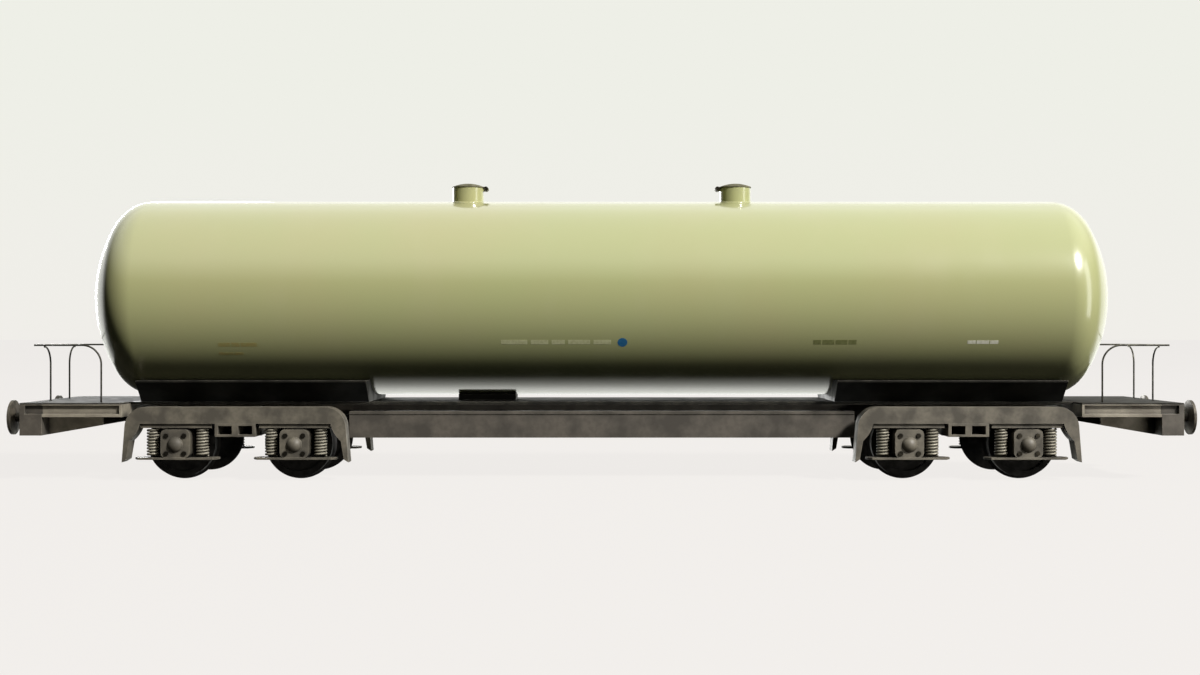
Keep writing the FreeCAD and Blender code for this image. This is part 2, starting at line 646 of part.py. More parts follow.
def make_sole_bars():
    """Channel bars outside the centre sills, only between the bogies."""
    body = new_body("sole_bar", whole=False)
    section = new_sketch(body, "bar_section", "YZ_Plane")
    inner = sill_inside + sill_thickness
    face = bar_outside - bar_recess
    flange_bottom = bar_top - bar_flange
    draw_outline(section, [
        (inner, flange_bottom), (face - bar_web, flange_bottom),
        (face - bar_web, bar_bottom + bar_web), (face - bar_foot, bar_bottom + bar_web),
        (face - bar_foot, bar_bottom), (face, bar_bottom), (face, flange_bottom),
        (bar_outside, flange_bottom), (bar_outside, bar_top), (inner, bar_top),
    ])
    add_pad(body, "bar", section, bar_half * 2, symmetric=True)
    group("sole_bars", body, sides=True)


def make_pivot_pins():
    """Headed pins that hang from the bolsters and carry the bogies."""
    body = new_body("pivot_pin", whole=False)
    section = new_sketch(body, "pin_section", "XZ_Plane")
    head_top = tube_bottom - pivot_slack
    draw_outline(section, [
        (0.0, head_top - pivot_head_height), (pivot_head, head_top - pivot_head_height),
        (pivot_head, head_top), (pivot_radius, head_top),
        (pivot_radius, plate_bottom), (0.0, plate_bottom),
    ])
    add_turning(body, "pin", section, "V_Axis")
    place(body, bogie_offset)
    group("pivot_pins", body, ends=True)


# ---------------------------------------------------------------- end platforms

under_deck = frame_top - deck_thickness
beam_outer = beam_inner + beam_depth
recess_depth = channel_depth - channel_web
groove_bottom = platform_bottom + channel_lower
groove_top = under_deck - channel_upper


def make_decks():
    body = new_body("deck", whole=False)
    plan = new_sketch(body, "deck_drawing", "XY_Plane", under_deck)
    draw_rectangle(plan, frame_half, -platform_half_width, beam_outer, platform_half_width)
    add_pad(body, "plate", plan, deck_thickness)
    group("decks", body, ends=True)


def cut_grooves(body, start, finish):
    """The open side of the channel, cut into both sides of a platform piece."""
    groove = new_sketch(body, "groove_drawing", "XZ_Plane", platform_half_width - recess_depth)
    draw_rectangle(groove, start, groove_bottom, finish, groove_top)
    cut = add_pocket(body, "groove", groove, recess_depth * 2, reverse=True)
    add_mirror(body, "both_grooves", [cut], "XZ_Plane")


def make_platform_frames():
    """A plate across the inner end and a channel along each side, open outwards."""
    inside = platform_half_width - channel_depth
    past_plate = frame_half + cross_plate
    for end, sign in ENDS:
        body = new_body(f"platform_frame_{end}")
        plan = new_sketch(body, "frame_drawing", "XY_Plane", platform_bottom)
        draw_outline(plan, [
            (frame_half, -platform_half_width), (beam_inner, -platform_half_width),
            (beam_inner, -inside), (past_plate, -inside), (past_plate, inside),
            (beam_inner, inside), (beam_inner, platform_half_width),
            (frame_half, platform_half_width),
        ])
        add_pad(body, "frame", plan, under_deck - platform_bottom)
        cut_grooves(body, past_plate, beam_inner + cross_plate)
        place(body, turned=sign < 0)


def make_buffer_beams():
    """A bar across the end, bored for the buffers. The channels' grooves run on into its ends."""
    for end, sign in ENDS:
        body = new_body(f"buffer_beam_{end}")
        plan = new_sketch(body, "beam_drawing", "XY_Plane", beam_bottom)
        draw_rectangle(plan, beam_inner, -platform_half_width, beam_outer, platform_half_width)
        add_pad(body, "beam", plan, under_deck - beam_bottom)
        bores = new_sketch(body, "bore_drawing", "YZ_Plane", beam_outer)
        for hand in (1, -1):
            draw_circle(bores, buffer_side * hand, buffer_height, bush_radius)
        add_pocket(body, "bores", bores, bore_depth)
        cut_grooves(body, beam_inner - cross_plate, beam_outer - groove_end)
        place(body, turned=sign < 0)


def make_gussets():
    """Tapered webs behind the buffers, under the decks."""
    body = new_body("gusset", whole=False)
    side = new_sketch(body, "gusset_drawing", "XZ_Plane", gusset_middle - gusset_thickness / 2)
    tip = beam_inner - gusset_length
    draw_outline(side, [
        (tip, gusset_tip), (beam_inner, beam_bottom), (beam_inner, under_deck), (tip, under_deck),
    ])
    add_pad(body, "web", side, gusset_thickness)
    group("gussets", body, sides=True, ends=True)


def bent_wire(points, bend, radius):
    """A round wire along straight runs, with an arc of the given radius at each inner point."""
    edges = []
    start = points[0]
    for index in range(1, len(points) - 1):
        corner = points[index]
        back = (points[index - 1] - corner).normalize()
        ahead = (points[index + 1] - corner).normalize()
        half_turn = (math.pi - back.getAngle(ahead)) / 2
        reach = bend * math.tan(half_turn)
        apart = bend / math.cos(half_turn) - bend
        first = corner + back * reach
        last = corner + ahead * reach
        edges.append(Part.LineSegment(start, first).toShape())
        middle = corner + (back + ahead).normalize() * apart
        edges.append(Part.Arc(first, middle, last).toShape())
        start = last
    edges.append(Part.LineSegment(start, points[-1]).toShape())
    ring = Part.Wire([Part.Circle(points[0], points[1] - points[0], radius).toShape()])
    return Part.Wire(edges).makePipeShell([ring], True, True)


def make_handrails():
    """Side posts bend over into side rails, an end rail joins them and two posts carry it."""
    half = wire_radius.number
    top, foot = rail_height.number, frame_top.number
    end, side, post = rail_end.number, rail_side.number, end_post.number
    beside = side - half - solder_gap.number
    below = top - 2 * half - solder_gap.number
    far_end = post + end_bend.number + half
    for name, sign in ENDS:
        wires = [bent_wire([Vector(end, -beside, top), Vector(end, beside, top)], 0, half)]
        for hand in (1, -1):
            rail_points = [(side_post.number, side, foot), (side_post.number, side, top),
                           (end + half, side, top)]
            post_points = [(end, post, foot), (end, post, below), (end, far_end, below)]
            for points, bend in ((rail_points, side_bend.number), (post_points, end_bend.number)):
                route = [Vector(x, hand * y, z) for x, y, z in points]
                wires.append(bent_wire(route, bend, half))
        rail = document.addObject("Part::Feature", f"handrail_{name}")
        rail.Label = f"handrail_{name}"
        rail.Shape = Part.makeCompound(wires)
        nodes.append(rail)
        place(rail, turned=sign < 0)


# ---------------------------------------------------------------- buffers and draw hooks

bore_floor = beam_outer - bore_depth
collar_face = beam_outer - bush_length - collar_play
collar_back = collar_face - collar_length


def make_buffer_bushes():
    body = new_body("buffer_bush", whole=False)
    section = new_sketch(body, "bush_section", "XZ_Plane")
    inside = shank_radius + shank_play
    draw_outline(section, [
        (-bush_length, inside), (bush_flange, inside), (bush_flange, bush_flange_radius),
        (0.0, bush_flange_radius), (0.0, bush_radius - fit_gap),
        (-bush_length, bush_radius - fit_gap),
    ])
    add_turning(body, "bush", section, "H_Axis")
    place(body, beam_outer, buffer_height, buffer_side)
    group("buffer_bushes", body, sides=True, ends=True)


def coil_springs(label, coil, wire, length, turns, spots, along_wagon=False):
    """Coil springs of round wire on their spots: upright, or finer and along the wagon."""
    rise = length - 2 * wire
    make_coil = Part.makeLongHelix if along_wagon else Part.makeHelix
    helix = make_coil(rise / turns, rise, coil)
    ring = Part.Wire([Part.Circle(Vector(coil, 0, 0), Vector(0, 1, 0), wire).toShape()])
    spring = Part.Wire(helix.Edges).makePipeShell([ring], True, True)
    spring.translate(Vector(0, 0, wire))
    if along_wagon:
        spring.rotate(Vector(0, 0, 0), Vector(0, 1, 0), 90)
    springs = document.addObject("Part::Feature", label)
    springs.Label = label
    springs.Shape = Part.makeCompound([spring.translated(spot) for spot in spots])
    nodes.append(springs)
    return springs


def make_buffers():
    """A flat head on a shank with a collar behind the bush, and a spring behind the collar."""
    head_back = buffer_face - disc_thickness
    spot = Vector(bore_floor.number + spring_clear.number, 0, 0)
    room = (collar_back - bore_floor - spring_clear * 2).number
    for end, sign in ENDS:
        for side, hand in (("near", -1), ("far", 1)):
            body = new_body(f"buffer_{end}_{side}")
            section = new_sketch(body, "buffer_section", "XZ_Plane")
            draw_outline(section, [
                (collar_back, 0.0), (buffer_face, 0.0), (buffer_face, buffer_disc),
                (head_back, buffer_disc), (head_back - disc_boss, shank_radius),
                (collar_face, shank_radius), (collar_face, bush_radius - collar_play),
                (collar_back, bush_radius - collar_play),
            ])
            add_turning(body, "buffer", section, "H_Axis")
            place(body, 0.0, buffer_height, buffer_side * hand, turned=sign < 0)
            spring = coil_springs(f"buffer_spring_{end}_{side}", buffer_coil.number,
                                  buffer_wire.number, room, buffer_turns.number, [spot], True)
            place(spring, 0.0, buffer_height, buffer_side * hand, turned=sign < 0)


def make_draw_hooks():
    """A plate on the beam with a forged hook, open at the top."""
    body = new_body("draw_hook", whole=False)
    plate = new_sketch(body, "plate_drawing", "YZ_Plane", beam_outer)
    draw_rectangle(plate, -hook_plate_half, buffer_height - hook_plate_half,
                   hook_plate_half, buffer_height + hook_plate_half)
    add_pad(body, "plate", plate, hook_plate_thick)
    side = new_sketch(body, "hook_drawing", "XZ_Plane")
    start = beam_outer + hook_plate_thick / 2
    bowl = beam_outer + hook_plate_thick + hook_reach - hook_body
    draw_outline(side, [
        (start, buffer_height - hook_body), (bowl, buffer_height - hook_body, hook_body),
        (bowl + hook_body, buffer_height, hook_body * 2),
        (bowl + hook_throat, buffer_height + hook_body),
        (bowl + hook_throat, buffer_height, -hook_throat),
        (bowl, buffer_height - hook_throat, -hook_throat),
        (bowl - hook_throat, buffer_height), (bowl - hook_throat * 2, buffer_height + hook_throat),
        (start, buffer_height + hook_throat),
    ])
    add_pad(body, "hook", side, hook_thickness, symmetric=True)
    group("draw_hooks", body, ends=True)


# ---------------------------------------------------------------- bogies

boss_top = sill_bottom - pivot_gap
plank_top = plank_bottom + plank_thickness


def side_frame_outline():
    """The beam with its two legs, from the left foot round over the top and back below."""
    half = [
        (foot_inside, foot_bottom + foot_rise), (foot_outside, foot_bottom),
        (side_corner, side_top),
    ]
    inner = [(leg_start, side_under, leg_round), (leg_waist, waist_height)]
    right = [inner[0], inner[1]] + half
    left = [(-side_corner, side_top), (-foot_outside, foot_bottom),
            (-foot_inside, foot_bottom + foot_rise), (-leg_waist, waist_height, leg_round),
            (-leg_start, side_under)]
    return right + left


def make_side_frames(end, sign):
    """A cast channel section with rounded corners, hollow behind, and two spring seats."""
    for side, hand in (("near", -1), ("far", 1)):
        body = new_body(f"side_frame_{end}_{side}")
        front = new_sketch(body, "frame_drawing", "XZ_Plane", frame_inside)
        draw_outline(front, side_frame_outline())
        frame = add_pad(body, "frame", front, frame_outside - frame_inside)

        def is_corner(edge, middle):
            high = abs(middle.z - side_top.number) < 0.01
            out = abs(abs(middle.x) - side_corner.number) < 0.01
            return high and out

        add_fillet(body, "corners", frame, side_round, is_corner)
        back = new_sketch(body, "hollow_drawing", "XZ_Plane", frame_inside)
        draw_rectangle(back, -hollow_half, side_under + hollow_edge,
                       hollow_half, side_top - hollow_edge)
        add_pocket(body, "hollow", back, side_hollow, reverse=True)
        seats = new_sketch(body, "seat_drawing", "XZ_Plane", frame_inside)
        for way in (1, -1):
            draw_rectangle(seats, axle_offset * way - seat_half, seat_bottom,
                           axle_offset * way + seat_half, side_under)
        add_pad(body, "seats", seats, frame_outside - frame_inside - seat_inset)
        place(body, bogie_offset * sign, turned=hand > 0)


def make_transom(end, sign):
    """Two box tubes side by side across the bogie, with the pivot boss on top."""
    body = new_body(f"transom_{end}")
    block = new_sketch(body, "tube_drawing", "XZ_Plane")
    draw_rectangle(block, -tube_half, tube_bottom, tube_half, side_under)
    add_pad(body, "tubes", block, frame_outside * 2, symmetric=True)
    boss = new_sketch(body, "boss_drawing", "XY_Plane", tube_bottom)
    draw_circle(boss, 0.0, 0.0, boss_radius)
    windows = new_sketch(body, "window_drawing", "XZ_Plane")
    for way in (1, -1):
        draw_rectangle(windows, (tube_half / 2) * way - tube_half / 2 + tube_side_wall,
                       tube_bottom + tube_flat_wall,
                       (tube_half / 2) * way + tube_half / 2 - tube_side_wall,
                       side_under - tube_flat_wall)
    add_pocket(body, "windows", windows, frame_outside * 3, symmetric=True)
    add_pad(body, "boss", boss, boss_top - tube_bottom)
    pin = new_sketch(body, "pin_hole_drawing", "XY_Plane")
    draw_circle(pin, 0.0, 0.0, pivot_radius + pivot_play)
    add_pocket(body, "pin_hole", pin, frame_top, reverse=True)
    place(body, bogie_offset * sign)


def make_axle_boxes(number, along):
    """A block with rounded corners, a domed cap and a blind bearing for the journal."""
    body = new_body(f"axle_box_{number}", whole=False)
    front = new_sketch(body, "box_drawing", "XZ_Plane", box_inside)
    draw_rectangle(front, -box_half, plank_top, box_half, box_top)
    box = add_pad(body, "box", front, box_outside - box_inside)

    def is_upright_corner(edge, middle):
        reach = edge.BoundBox
        return reach.YLength > 1 and reach.XLength < 0.01 and reach.ZLength < 0.01

    add_fillet(body, "corners", box, box_round, is_upright_corner)
    bolts = new_sketch(body, "bolt_hole_drawing", "XZ_Plane", box_outside)
    for across in (1, -1):
        for up in (1, -1):
            draw_circle(bolts, bolt_offset * across, flange_radius + bolt_offset * up,
                        bolt_shank + fit_gap)
    add_pocket(body, "bolt_holes", bolts, bolt_length + fit_gap)
    bearing = new_sketch(body, "bearing_drawing", "XZ_Plane", box_inside)
    draw_circle(bearing, 0.0, flange_radius, journal_radius + journal_play)
    add_pocket(body, "bearing", bearing, journal_end - box_inside + journal_play * 4, reverse=True)
    cap = new_sketch(body, "cap_section", "YZ_Plane")
    dome = (cap_radius * cap_radius + cap_rise * cap_rise) / (cap_rise * 2)
    draw_outline(cap, [
        (-box_outside, flange_radius), (-box_outside, flange_radius + cap_radius, dome),
        (-(box_outside + cap_rise), flange_radius),
    ])
    add_turning(body, "cap", cap, "Edge1")
    node = group(f"axle_boxes_{number}", body, sides=True)
    place(node, along)


def make_cover_bolts(number, along):
    body = new_body(f"cover_bolt_{number}", whole=False)
    shank = new_sketch(body, "shank_drawing", "XZ_Plane", box_outside - bolt_length)
    head = new_sketch(body, "head_drawing", "XZ_Plane", box_outside)
    for across in (1, -1):
        for up in (1, -1):
            at = (bolt_offset * across, flange_radius + bolt_offset * up)
            draw_circle(shank, at[0], at[1], bolt_shank)
            draw_circle(head, at[0], at[1], bolt_radius)
    body.AllowCompound = True
    add_pad(body, "shanks", shank, bolt_length)
    add_pad(body, "heads", head, bolt_rise)
    node = group(f"cover_bolts_{number}", body, sides=True)
    place(node, along)


def make_spring_planks(number, along):
    """A flat plate with pointed ends under each axle box, carrying its two springs."""
    body = new_body(f"spring_plank_{number}", whole=False)
    plan = new_sketch(body, "plank_drawing", "XY_Plane", plank_bottom)
    inner, outer = box_inside + fit_gap, box_outside
    draw_outline(plan, [
        (-plank_shoulder, -outer), (plank_shoulder, -outer),
        (plank_half, -(spring_side + plank_tip)), (plank_half, -(spring_side - plank_tip)),
        (plank_shoulder, -inner), (-plank_shoulder, -inner),
        (-plank_half, -(spring_side - plank_tip)), (-plank_half, -(spring_side + plank_tip)),
    ])
    add_pad(body, "plank", plan, plank_thickness)
    node = group(f"spring_planks_{number}", body, sides=True)
    place(node, along)


def make_suspension_springs(number, along):
    gap = spring_clear.number
    room = (seat_bottom - plank_top).number - 2 * gap
    spots = [Vector(way * spring_offset.number, hand * spring_side.number, plank_top.number + gap)
             for way in (1, -1) for hand in (1, -1)]
    springs = coil_springs(f"springs_{number}", spring_coil.number, spring_wire.number,
                           room, spring_turns.number, spots)
    place(springs, along)


def make_axle(number, along):
    """A turned axle: wheel seats in the middle and thinner journals at the ends."""
    body = new_body(f"axle_{number}")
    section = new_sketch(body, "axle_section", "XY_Plane")
    seat_end = wheel_inside + wheel_width + hub_stand
    draw_outline(section, [
        (0.0, -journal_end), (journal_radius, -journal_end), (journal_radius, -seat_end),
        (axle_radius, -seat_end), (axle_radius, seat_end), (journal_radius, seat_end),
        (journal_radius, journal_end), (0.0, journal_end),
    ])
    add_turning(body, "axle", section, "V_Axis")
    place(body, along, flange_radius)


def make_wheels(number, along):
    """Disc wheels with a hub, a thin web and a flanged rim, drawn for the far side."""
    body = new_body(f"wheel_{number}", whole=False)
    section = new_sketch(body, "wheel_section", "XY_Plane")
    bore = axle_radius + fit_gap
    face = wheel_inside + wheel_width
    rim = tread_radius - rim_thickness
    draw_outline(section, [
        (bore, wheel_inside), (hub_radius, wheel_inside), (hub_radius, wheel_inside + back_dish),
        (rim, wheel_inside + back_dish), (rim, wheel_inside),
        (flange_radius - flange_width / 2, wheel_inside),
        (flange_radius, wheel_inside + flange_width / 2),
        (flange_radius - flange_width / 2, wheel_inside + flange_width),
        (tread_radius, wheel_inside + flange_width * 1.5), (tread_radius, face), (rim, face),
        (rim, face - wheel_dish), (hub_radius, face - wheel_dish), (hub_radius, face + hub_stand),
        (bore, face + hub_stand),
    ])
    add_turning(body, "wheel", section, "V_Axis")
    node = group(f"wheels_{number}", body, sides=True)
    place(node, along, flange_radius)


def make_bogies():
    for end, sign in ENDS:
        make_side_frames(end, sign)
        make_transom(end, sign)
    places = [-(bogie_offset + axle_offset), -(bogie_offset - axle_offset),
              bogie_offset - axle_offset, bogie_offset + axle_offset]
    for index, along in enumerate(places):
        number = index + 1
        make_axle_boxes(number, along)
        make_cover_bolts(number, along)
        make_spring_planks(number, along)
        make_suspension_springs(number, along)
        make_axle(number, along)
        make_wheels(number, along)


# ---------------------------------------------------------------- build, check and write

make_tank_shell()
make_manway_necks()
make_hatch_lids()
make_lid_pins()
make_outlet_box()
make_saddles()
make_frame_plate()
make_centre_sills()
make_bolsters()
make_sole_bars()
make_pivot_pins()
make_decks()
make_platform_frames()
make_buffer_beams()
make_gussets()
make_handrails()
make_buffer_bushes()
make_buffers()
make_draw_hooks()
make_bogies()
document.recompute()

for thing in document.Objects:
    if "Invalid" in thing.State or "Error" in thing.State:
        raise RuntimeError(f"{thing.Label} failed: {thing.State}")
for node in nodes:
    if node.Shape.isNull() or not node.Shape.isValid() or not node.Shape.Solids:
        raise RuntimeError(f"{node.Label} has no valid solid")

os.makedirs("parts", exist_ok=True)
for node in nodes:
    node.Shape.exportStep(f"parts/{node.Label}.step")
    bounds = node.Shape.BoundBox
    print(f"{node.Label:24s} {len(node.Shape.Solids):2d} solids {node.Shape.Volume:10.1f} mm3 "
          f"x {bounds.XMin:7.2f} {bounds.XMax:7.2f} y {bounds.YMin:6.2f} {bounds.YMax:6.2f} "
          f"z {bounds.ZMin:6.2f} {bounds.ZMax:6.2f}")
print(len(nodes), "nodes")
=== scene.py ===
# %% [markdown]
# # A model tank wagon, dressed in Blender
# The CAD frame already holds every piece of the wagon at its real place and size. This lesson
# gives the pieces their finish, and rebuilds the ones where a smoother or softer shape shows:
# the long glossy tank, every plate and casting whose edges a real maker would break, and the
# coil springs.
# Everything is in metres, X along the wagon, Y across it with the near side at minus Y, Z up.

# %% Load the frame
import json
import math

import bmesh
import bpy
from mathutils import Euler, Matrix, Vector

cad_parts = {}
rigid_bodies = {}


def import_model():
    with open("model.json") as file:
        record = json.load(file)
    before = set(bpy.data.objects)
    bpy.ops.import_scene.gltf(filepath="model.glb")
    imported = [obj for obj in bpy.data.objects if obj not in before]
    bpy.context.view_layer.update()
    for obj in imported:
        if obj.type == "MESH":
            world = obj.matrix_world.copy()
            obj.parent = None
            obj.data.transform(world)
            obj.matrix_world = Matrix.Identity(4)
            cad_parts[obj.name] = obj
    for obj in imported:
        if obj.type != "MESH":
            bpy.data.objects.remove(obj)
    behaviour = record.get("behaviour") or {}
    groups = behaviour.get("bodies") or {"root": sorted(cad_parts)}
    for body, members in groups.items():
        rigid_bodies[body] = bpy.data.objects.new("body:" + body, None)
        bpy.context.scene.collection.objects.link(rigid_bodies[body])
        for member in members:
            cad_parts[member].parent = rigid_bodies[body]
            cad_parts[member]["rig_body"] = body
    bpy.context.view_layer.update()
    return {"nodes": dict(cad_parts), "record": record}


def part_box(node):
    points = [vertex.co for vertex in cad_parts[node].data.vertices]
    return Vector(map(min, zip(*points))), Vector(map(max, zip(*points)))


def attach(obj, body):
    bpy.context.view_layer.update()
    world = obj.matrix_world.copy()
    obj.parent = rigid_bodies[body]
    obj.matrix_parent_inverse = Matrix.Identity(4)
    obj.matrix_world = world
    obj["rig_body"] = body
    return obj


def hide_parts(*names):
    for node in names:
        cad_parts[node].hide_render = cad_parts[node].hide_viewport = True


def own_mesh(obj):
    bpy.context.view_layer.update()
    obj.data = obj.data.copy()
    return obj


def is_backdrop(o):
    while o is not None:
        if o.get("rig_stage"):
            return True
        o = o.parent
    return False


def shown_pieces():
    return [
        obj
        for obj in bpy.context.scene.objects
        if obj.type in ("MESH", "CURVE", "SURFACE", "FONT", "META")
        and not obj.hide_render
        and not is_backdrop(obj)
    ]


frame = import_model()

MM = 0.001

# %% [markdown]
# ## The camera
# The wagon is seen square on from its near side, by a level camera a little above the middle of
# the underframe. A 50 mm lens on a 36 mm wide frame gives the mild perspective in which both
# bogies still show a little of their far wheels. The camera stands 681 mm from the wagon's
# middle, which at this scale is like standing twenty-two metres from a real wagon.

# %% Camera
CAMERA_DISTANCE = 681.25 * MM
CAMERA_HEIGHT = 55.7 * MM
CAMERA_SHIFT_ASIDE = -0.7 * MM
LENS_MM = 50
SENSOR_WIDTH_MM = 36
NEAREST_SEEN = 10 * MM

camera = bpy.data.objects.new("camera", bpy.data.cameras.new("camera"))
bpy.context.scene.collection.objects.link(camera)
camera.data.lens = LENS_MM
camera.data.sensor_width = SENSOR_WIDTH_MM
camera.data.clip_start = NEAREST_SEEN
camera.location = (CAMERA_SHIFT_ASIDE, -CAMERA_DISTANCE, CAMERA_HEIGHT)
camera.rotation_euler = Euler((math.radians(90), 0, 0))
bpy.context.scene.camera = camera
bpy.context.scene.view_settings.view_transform = "Standard"
print("camera", round(CAMERA_DISTANCE / MM), "mm away")

# %% [markdown]
# ## Colours and nodes
# Colours are easiest to choose as the hex values that a screen shows, but Blender's shaders work
# on linear light, so one function turns the first into the second. A second function adds a
# shader node: its settings are attributes, and each of its inputs is either a plain value or the
# output socket of an earlier node, which is then linked.

# %% Colour and node helpers
def linear(hex_colour):
    """The linear RGBA of an sRGB hex colour such as '8F9460'."""
    shares = [int(hex_colour[start:start + 2], 16) / 255 for start in (0, 2, 4)]
    return tuple(c / 12.92 if c <= 0.04045 else ((c + 0.055) / 1.055) ** 2.4 for c in shares) + (1.0,)


def add_node(tree, kind, inputs=None, **settings):
    """Adds a node; inputs are values or output sockets, by the name or number of the input."""
    node = tree.nodes.new(kind)
    for name, value in settings.items():
        setattr(node, name, value)
    for name, value in (inputs or {}).items():
        if isinstance(value, bpy.types.NodeSocket):
            tree.links.new(value, node.inputs[name])
        else:
            node.inputs[name].default_value = value
    return node


def new_material(name):
    """An empty node material with its output, ready for a shader."""
    material = bpy.data.materials.new(name)
    material.use_nodes = True
    material.node_tree.nodes.clear()
    output = add_node(material.node_tree, "ShaderNodeOutputMaterial")
    return material, material.node_tree, output


# A Mix node has one set of inputs for each kind of data; these are the ones for colours.
MIX_FACTOR, MIX_A, MIX_B, MIX_RESULT = 0, 6, 7, 2
print("mid olive in linear light:", [round(c, 3) for c in linear("969B64")])

# %% [markdown]
# ## Patterns that all the paints share
# Paint on a model is never one even colour. Two things change it: broad soft patches where it
# was sprayed thicker or has faded, and bare bright edges where fingers and the track-side rub it
# off. A third pattern is painted shade: it darkens the inner corners and narrow gaps, where an
# ambient-occlusion node finds the surface hemmed in. Each is a small pattern here, sized in real
# millimetres, and gives a mask from 0 to 1.

# %% Pattern helpers
def patches(tree, size_mm, low=0.4, high=0.6, stretch=(1, 1, 1), detail=4.0):
    """A cloudy mask whose clouds are about size_mm across; stretch above 1 squeezes an axis."""
    place = add_node(tree, "ShaderNodeTexCoord").outputs["Object"]
    mapping = add_node(tree, "ShaderNodeMapping", {"Vector": place, "Scale": stretch})
    noise = add_node(tree, "ShaderNodeTexNoise",
                     {"Vector": mapping.outputs[0], "Scale": 1 / (size_mm * MM), "Detail": detail})
    clipped = add_node(tree, "ShaderNodeMapRange",
                       {"Value": noise.outputs["Fac"], "From Min": low, "From Max": high})
    return clipped.outputs["Result"]


def worn_edges(tree, width_mm, patchy):
    """A mask that is 1 on outer edges within width_mm, broken up by the patchy mask."""
    rounded = add_node(tree, "ShaderNodeBevel", {"Radius": width_mm * MM}, samples=4)
    flat = add_node(tree, "ShaderNodeNewGeometry")
    turn = add_node(tree, "ShaderNodeVectorMath",
                    {0: rounded.outputs["Normal"], 1: flat.outputs["Normal"]}, operation="DOT_PRODUCT")
    edge = add_node(tree, "ShaderNodeMapRange",
                    {"Value": turn.outputs["Value"], "From Min": 0.995, "From Max": 0.85})
    mask = add_node(tree, "ShaderNodeMath", {0: edge.outputs["Result"], 1: patchy}, operation="MULTIPLY")
    return mask.outputs["Value"]


def painted_corner_shade(tree, reach_mm):
    """A painted-shade mask that rises to 1 in inner corners and narrow gaps, over about reach_mm."""
    shade = add_node(tree, "ShaderNodeAmbientOcclusion", {"Distance": reach_mm * MM}, samples=4)
    corner_shade_share = add_node(tree, "ShaderNodeMapRange",
                    {"Value": shade.outputs["AO"], "From Min": 0.9, "From Max": 0.35})
    return corner_shade_share.outputs["Result"]


def grain_bump(tree, size_mm, height_mm, detail=3.0):
    """A fine bumpy normal, for cast or sprayed surfaces."""
    place = add_node(tree, "ShaderNodeTexCoord").outputs["Object"]
    noise = add_node(tree, "ShaderNodeTexNoise",
                     {"Vector": place, "Scale": 1 / (size_mm * MM), "Detail": detail})
    bump = add_node(tree, "ShaderNodeBump",
                    {"Height": noise.outputs["Fac"], "Distance": height_mm * MM, "Strength": 0.6})
    return bump.outputs["Normal"]


print("pattern helpers: patches, worn_edges, painted_corner_shade, grain_bump")

# %% [markdown]
# ## Gloss enamel for the tank
# A tank like this is sprayed with gloss enamel in a pale olive. Enamel is a plastic-like film:
# it reflects about 4 percent straight on and much more at a glancing angle, which is an index
# of refraction of 1.5, so the top and the ends turn pale. Two close olives drift into one
# another over several centimetres, a haze of road dust settles in blotches, and a fine
# orange-peel bump breaks the reflection a little. Real orange peel is about 0.3 mm across; it is
# drawn at 2.5 mm, because finer bumps wouldn't show at this distance.

# %% Tank enamel
PAINT_IOR = 1.5
DUST_SHARE = 0.16


def gloss_enamel(name, colour, drift, dust, roughness=0.19):
    material, tree, output = new_material(name)
    broad = patches(tree, 70, 0.35, 0.65)
    paint = add_node(tree, "ShaderNodeMix",
                     {MIX_FACTOR: broad, MIX_A: linear(colour), MIX_B: linear(drift)}, data_type="RGBA")
    blotches = patches(tree, 16, 0.5, 0.85, stretch=(1, 1, 0.5))
    thin_dust = add_node(tree, "ShaderNodeMath", {0: blotches, 1: DUST_SHARE}, operation="MULTIPLY")
    dusty = add_node(tree, "ShaderNodeMix",
                     {MIX_FACTOR: thin_dust.outputs[0], MIX_A: paint.outputs[MIX_RESULT],
                      MIX_B: linear(dust)}, data_type="RGBA")
    dull = add_node(tree, "ShaderNodeMapRange",
                    {"Value": blotches, "To Min": roughness, "To Max": roughness + 0.1})
    shader = add_node(tree, "ShaderNodeBsdfPrincipled",
                      {"Base Color": dusty.outputs[MIX_RESULT], "Roughness": dull.outputs[0],
                       "IOR": PAINT_IOR, "Coat Weight": 0.6, "Coat Roughness": 0.1,
                       "Normal": grain_bump(tree, 2.5, 0.006)})
    tree.links.new(shader.outputs[0], output.inputs["Surface"])
    return material


tank_enamel = gloss_enamel("olive_gloss_enamel", "A2A675", "A5A476", "ACAA88")
print("tank material:", tank_enamel.name)
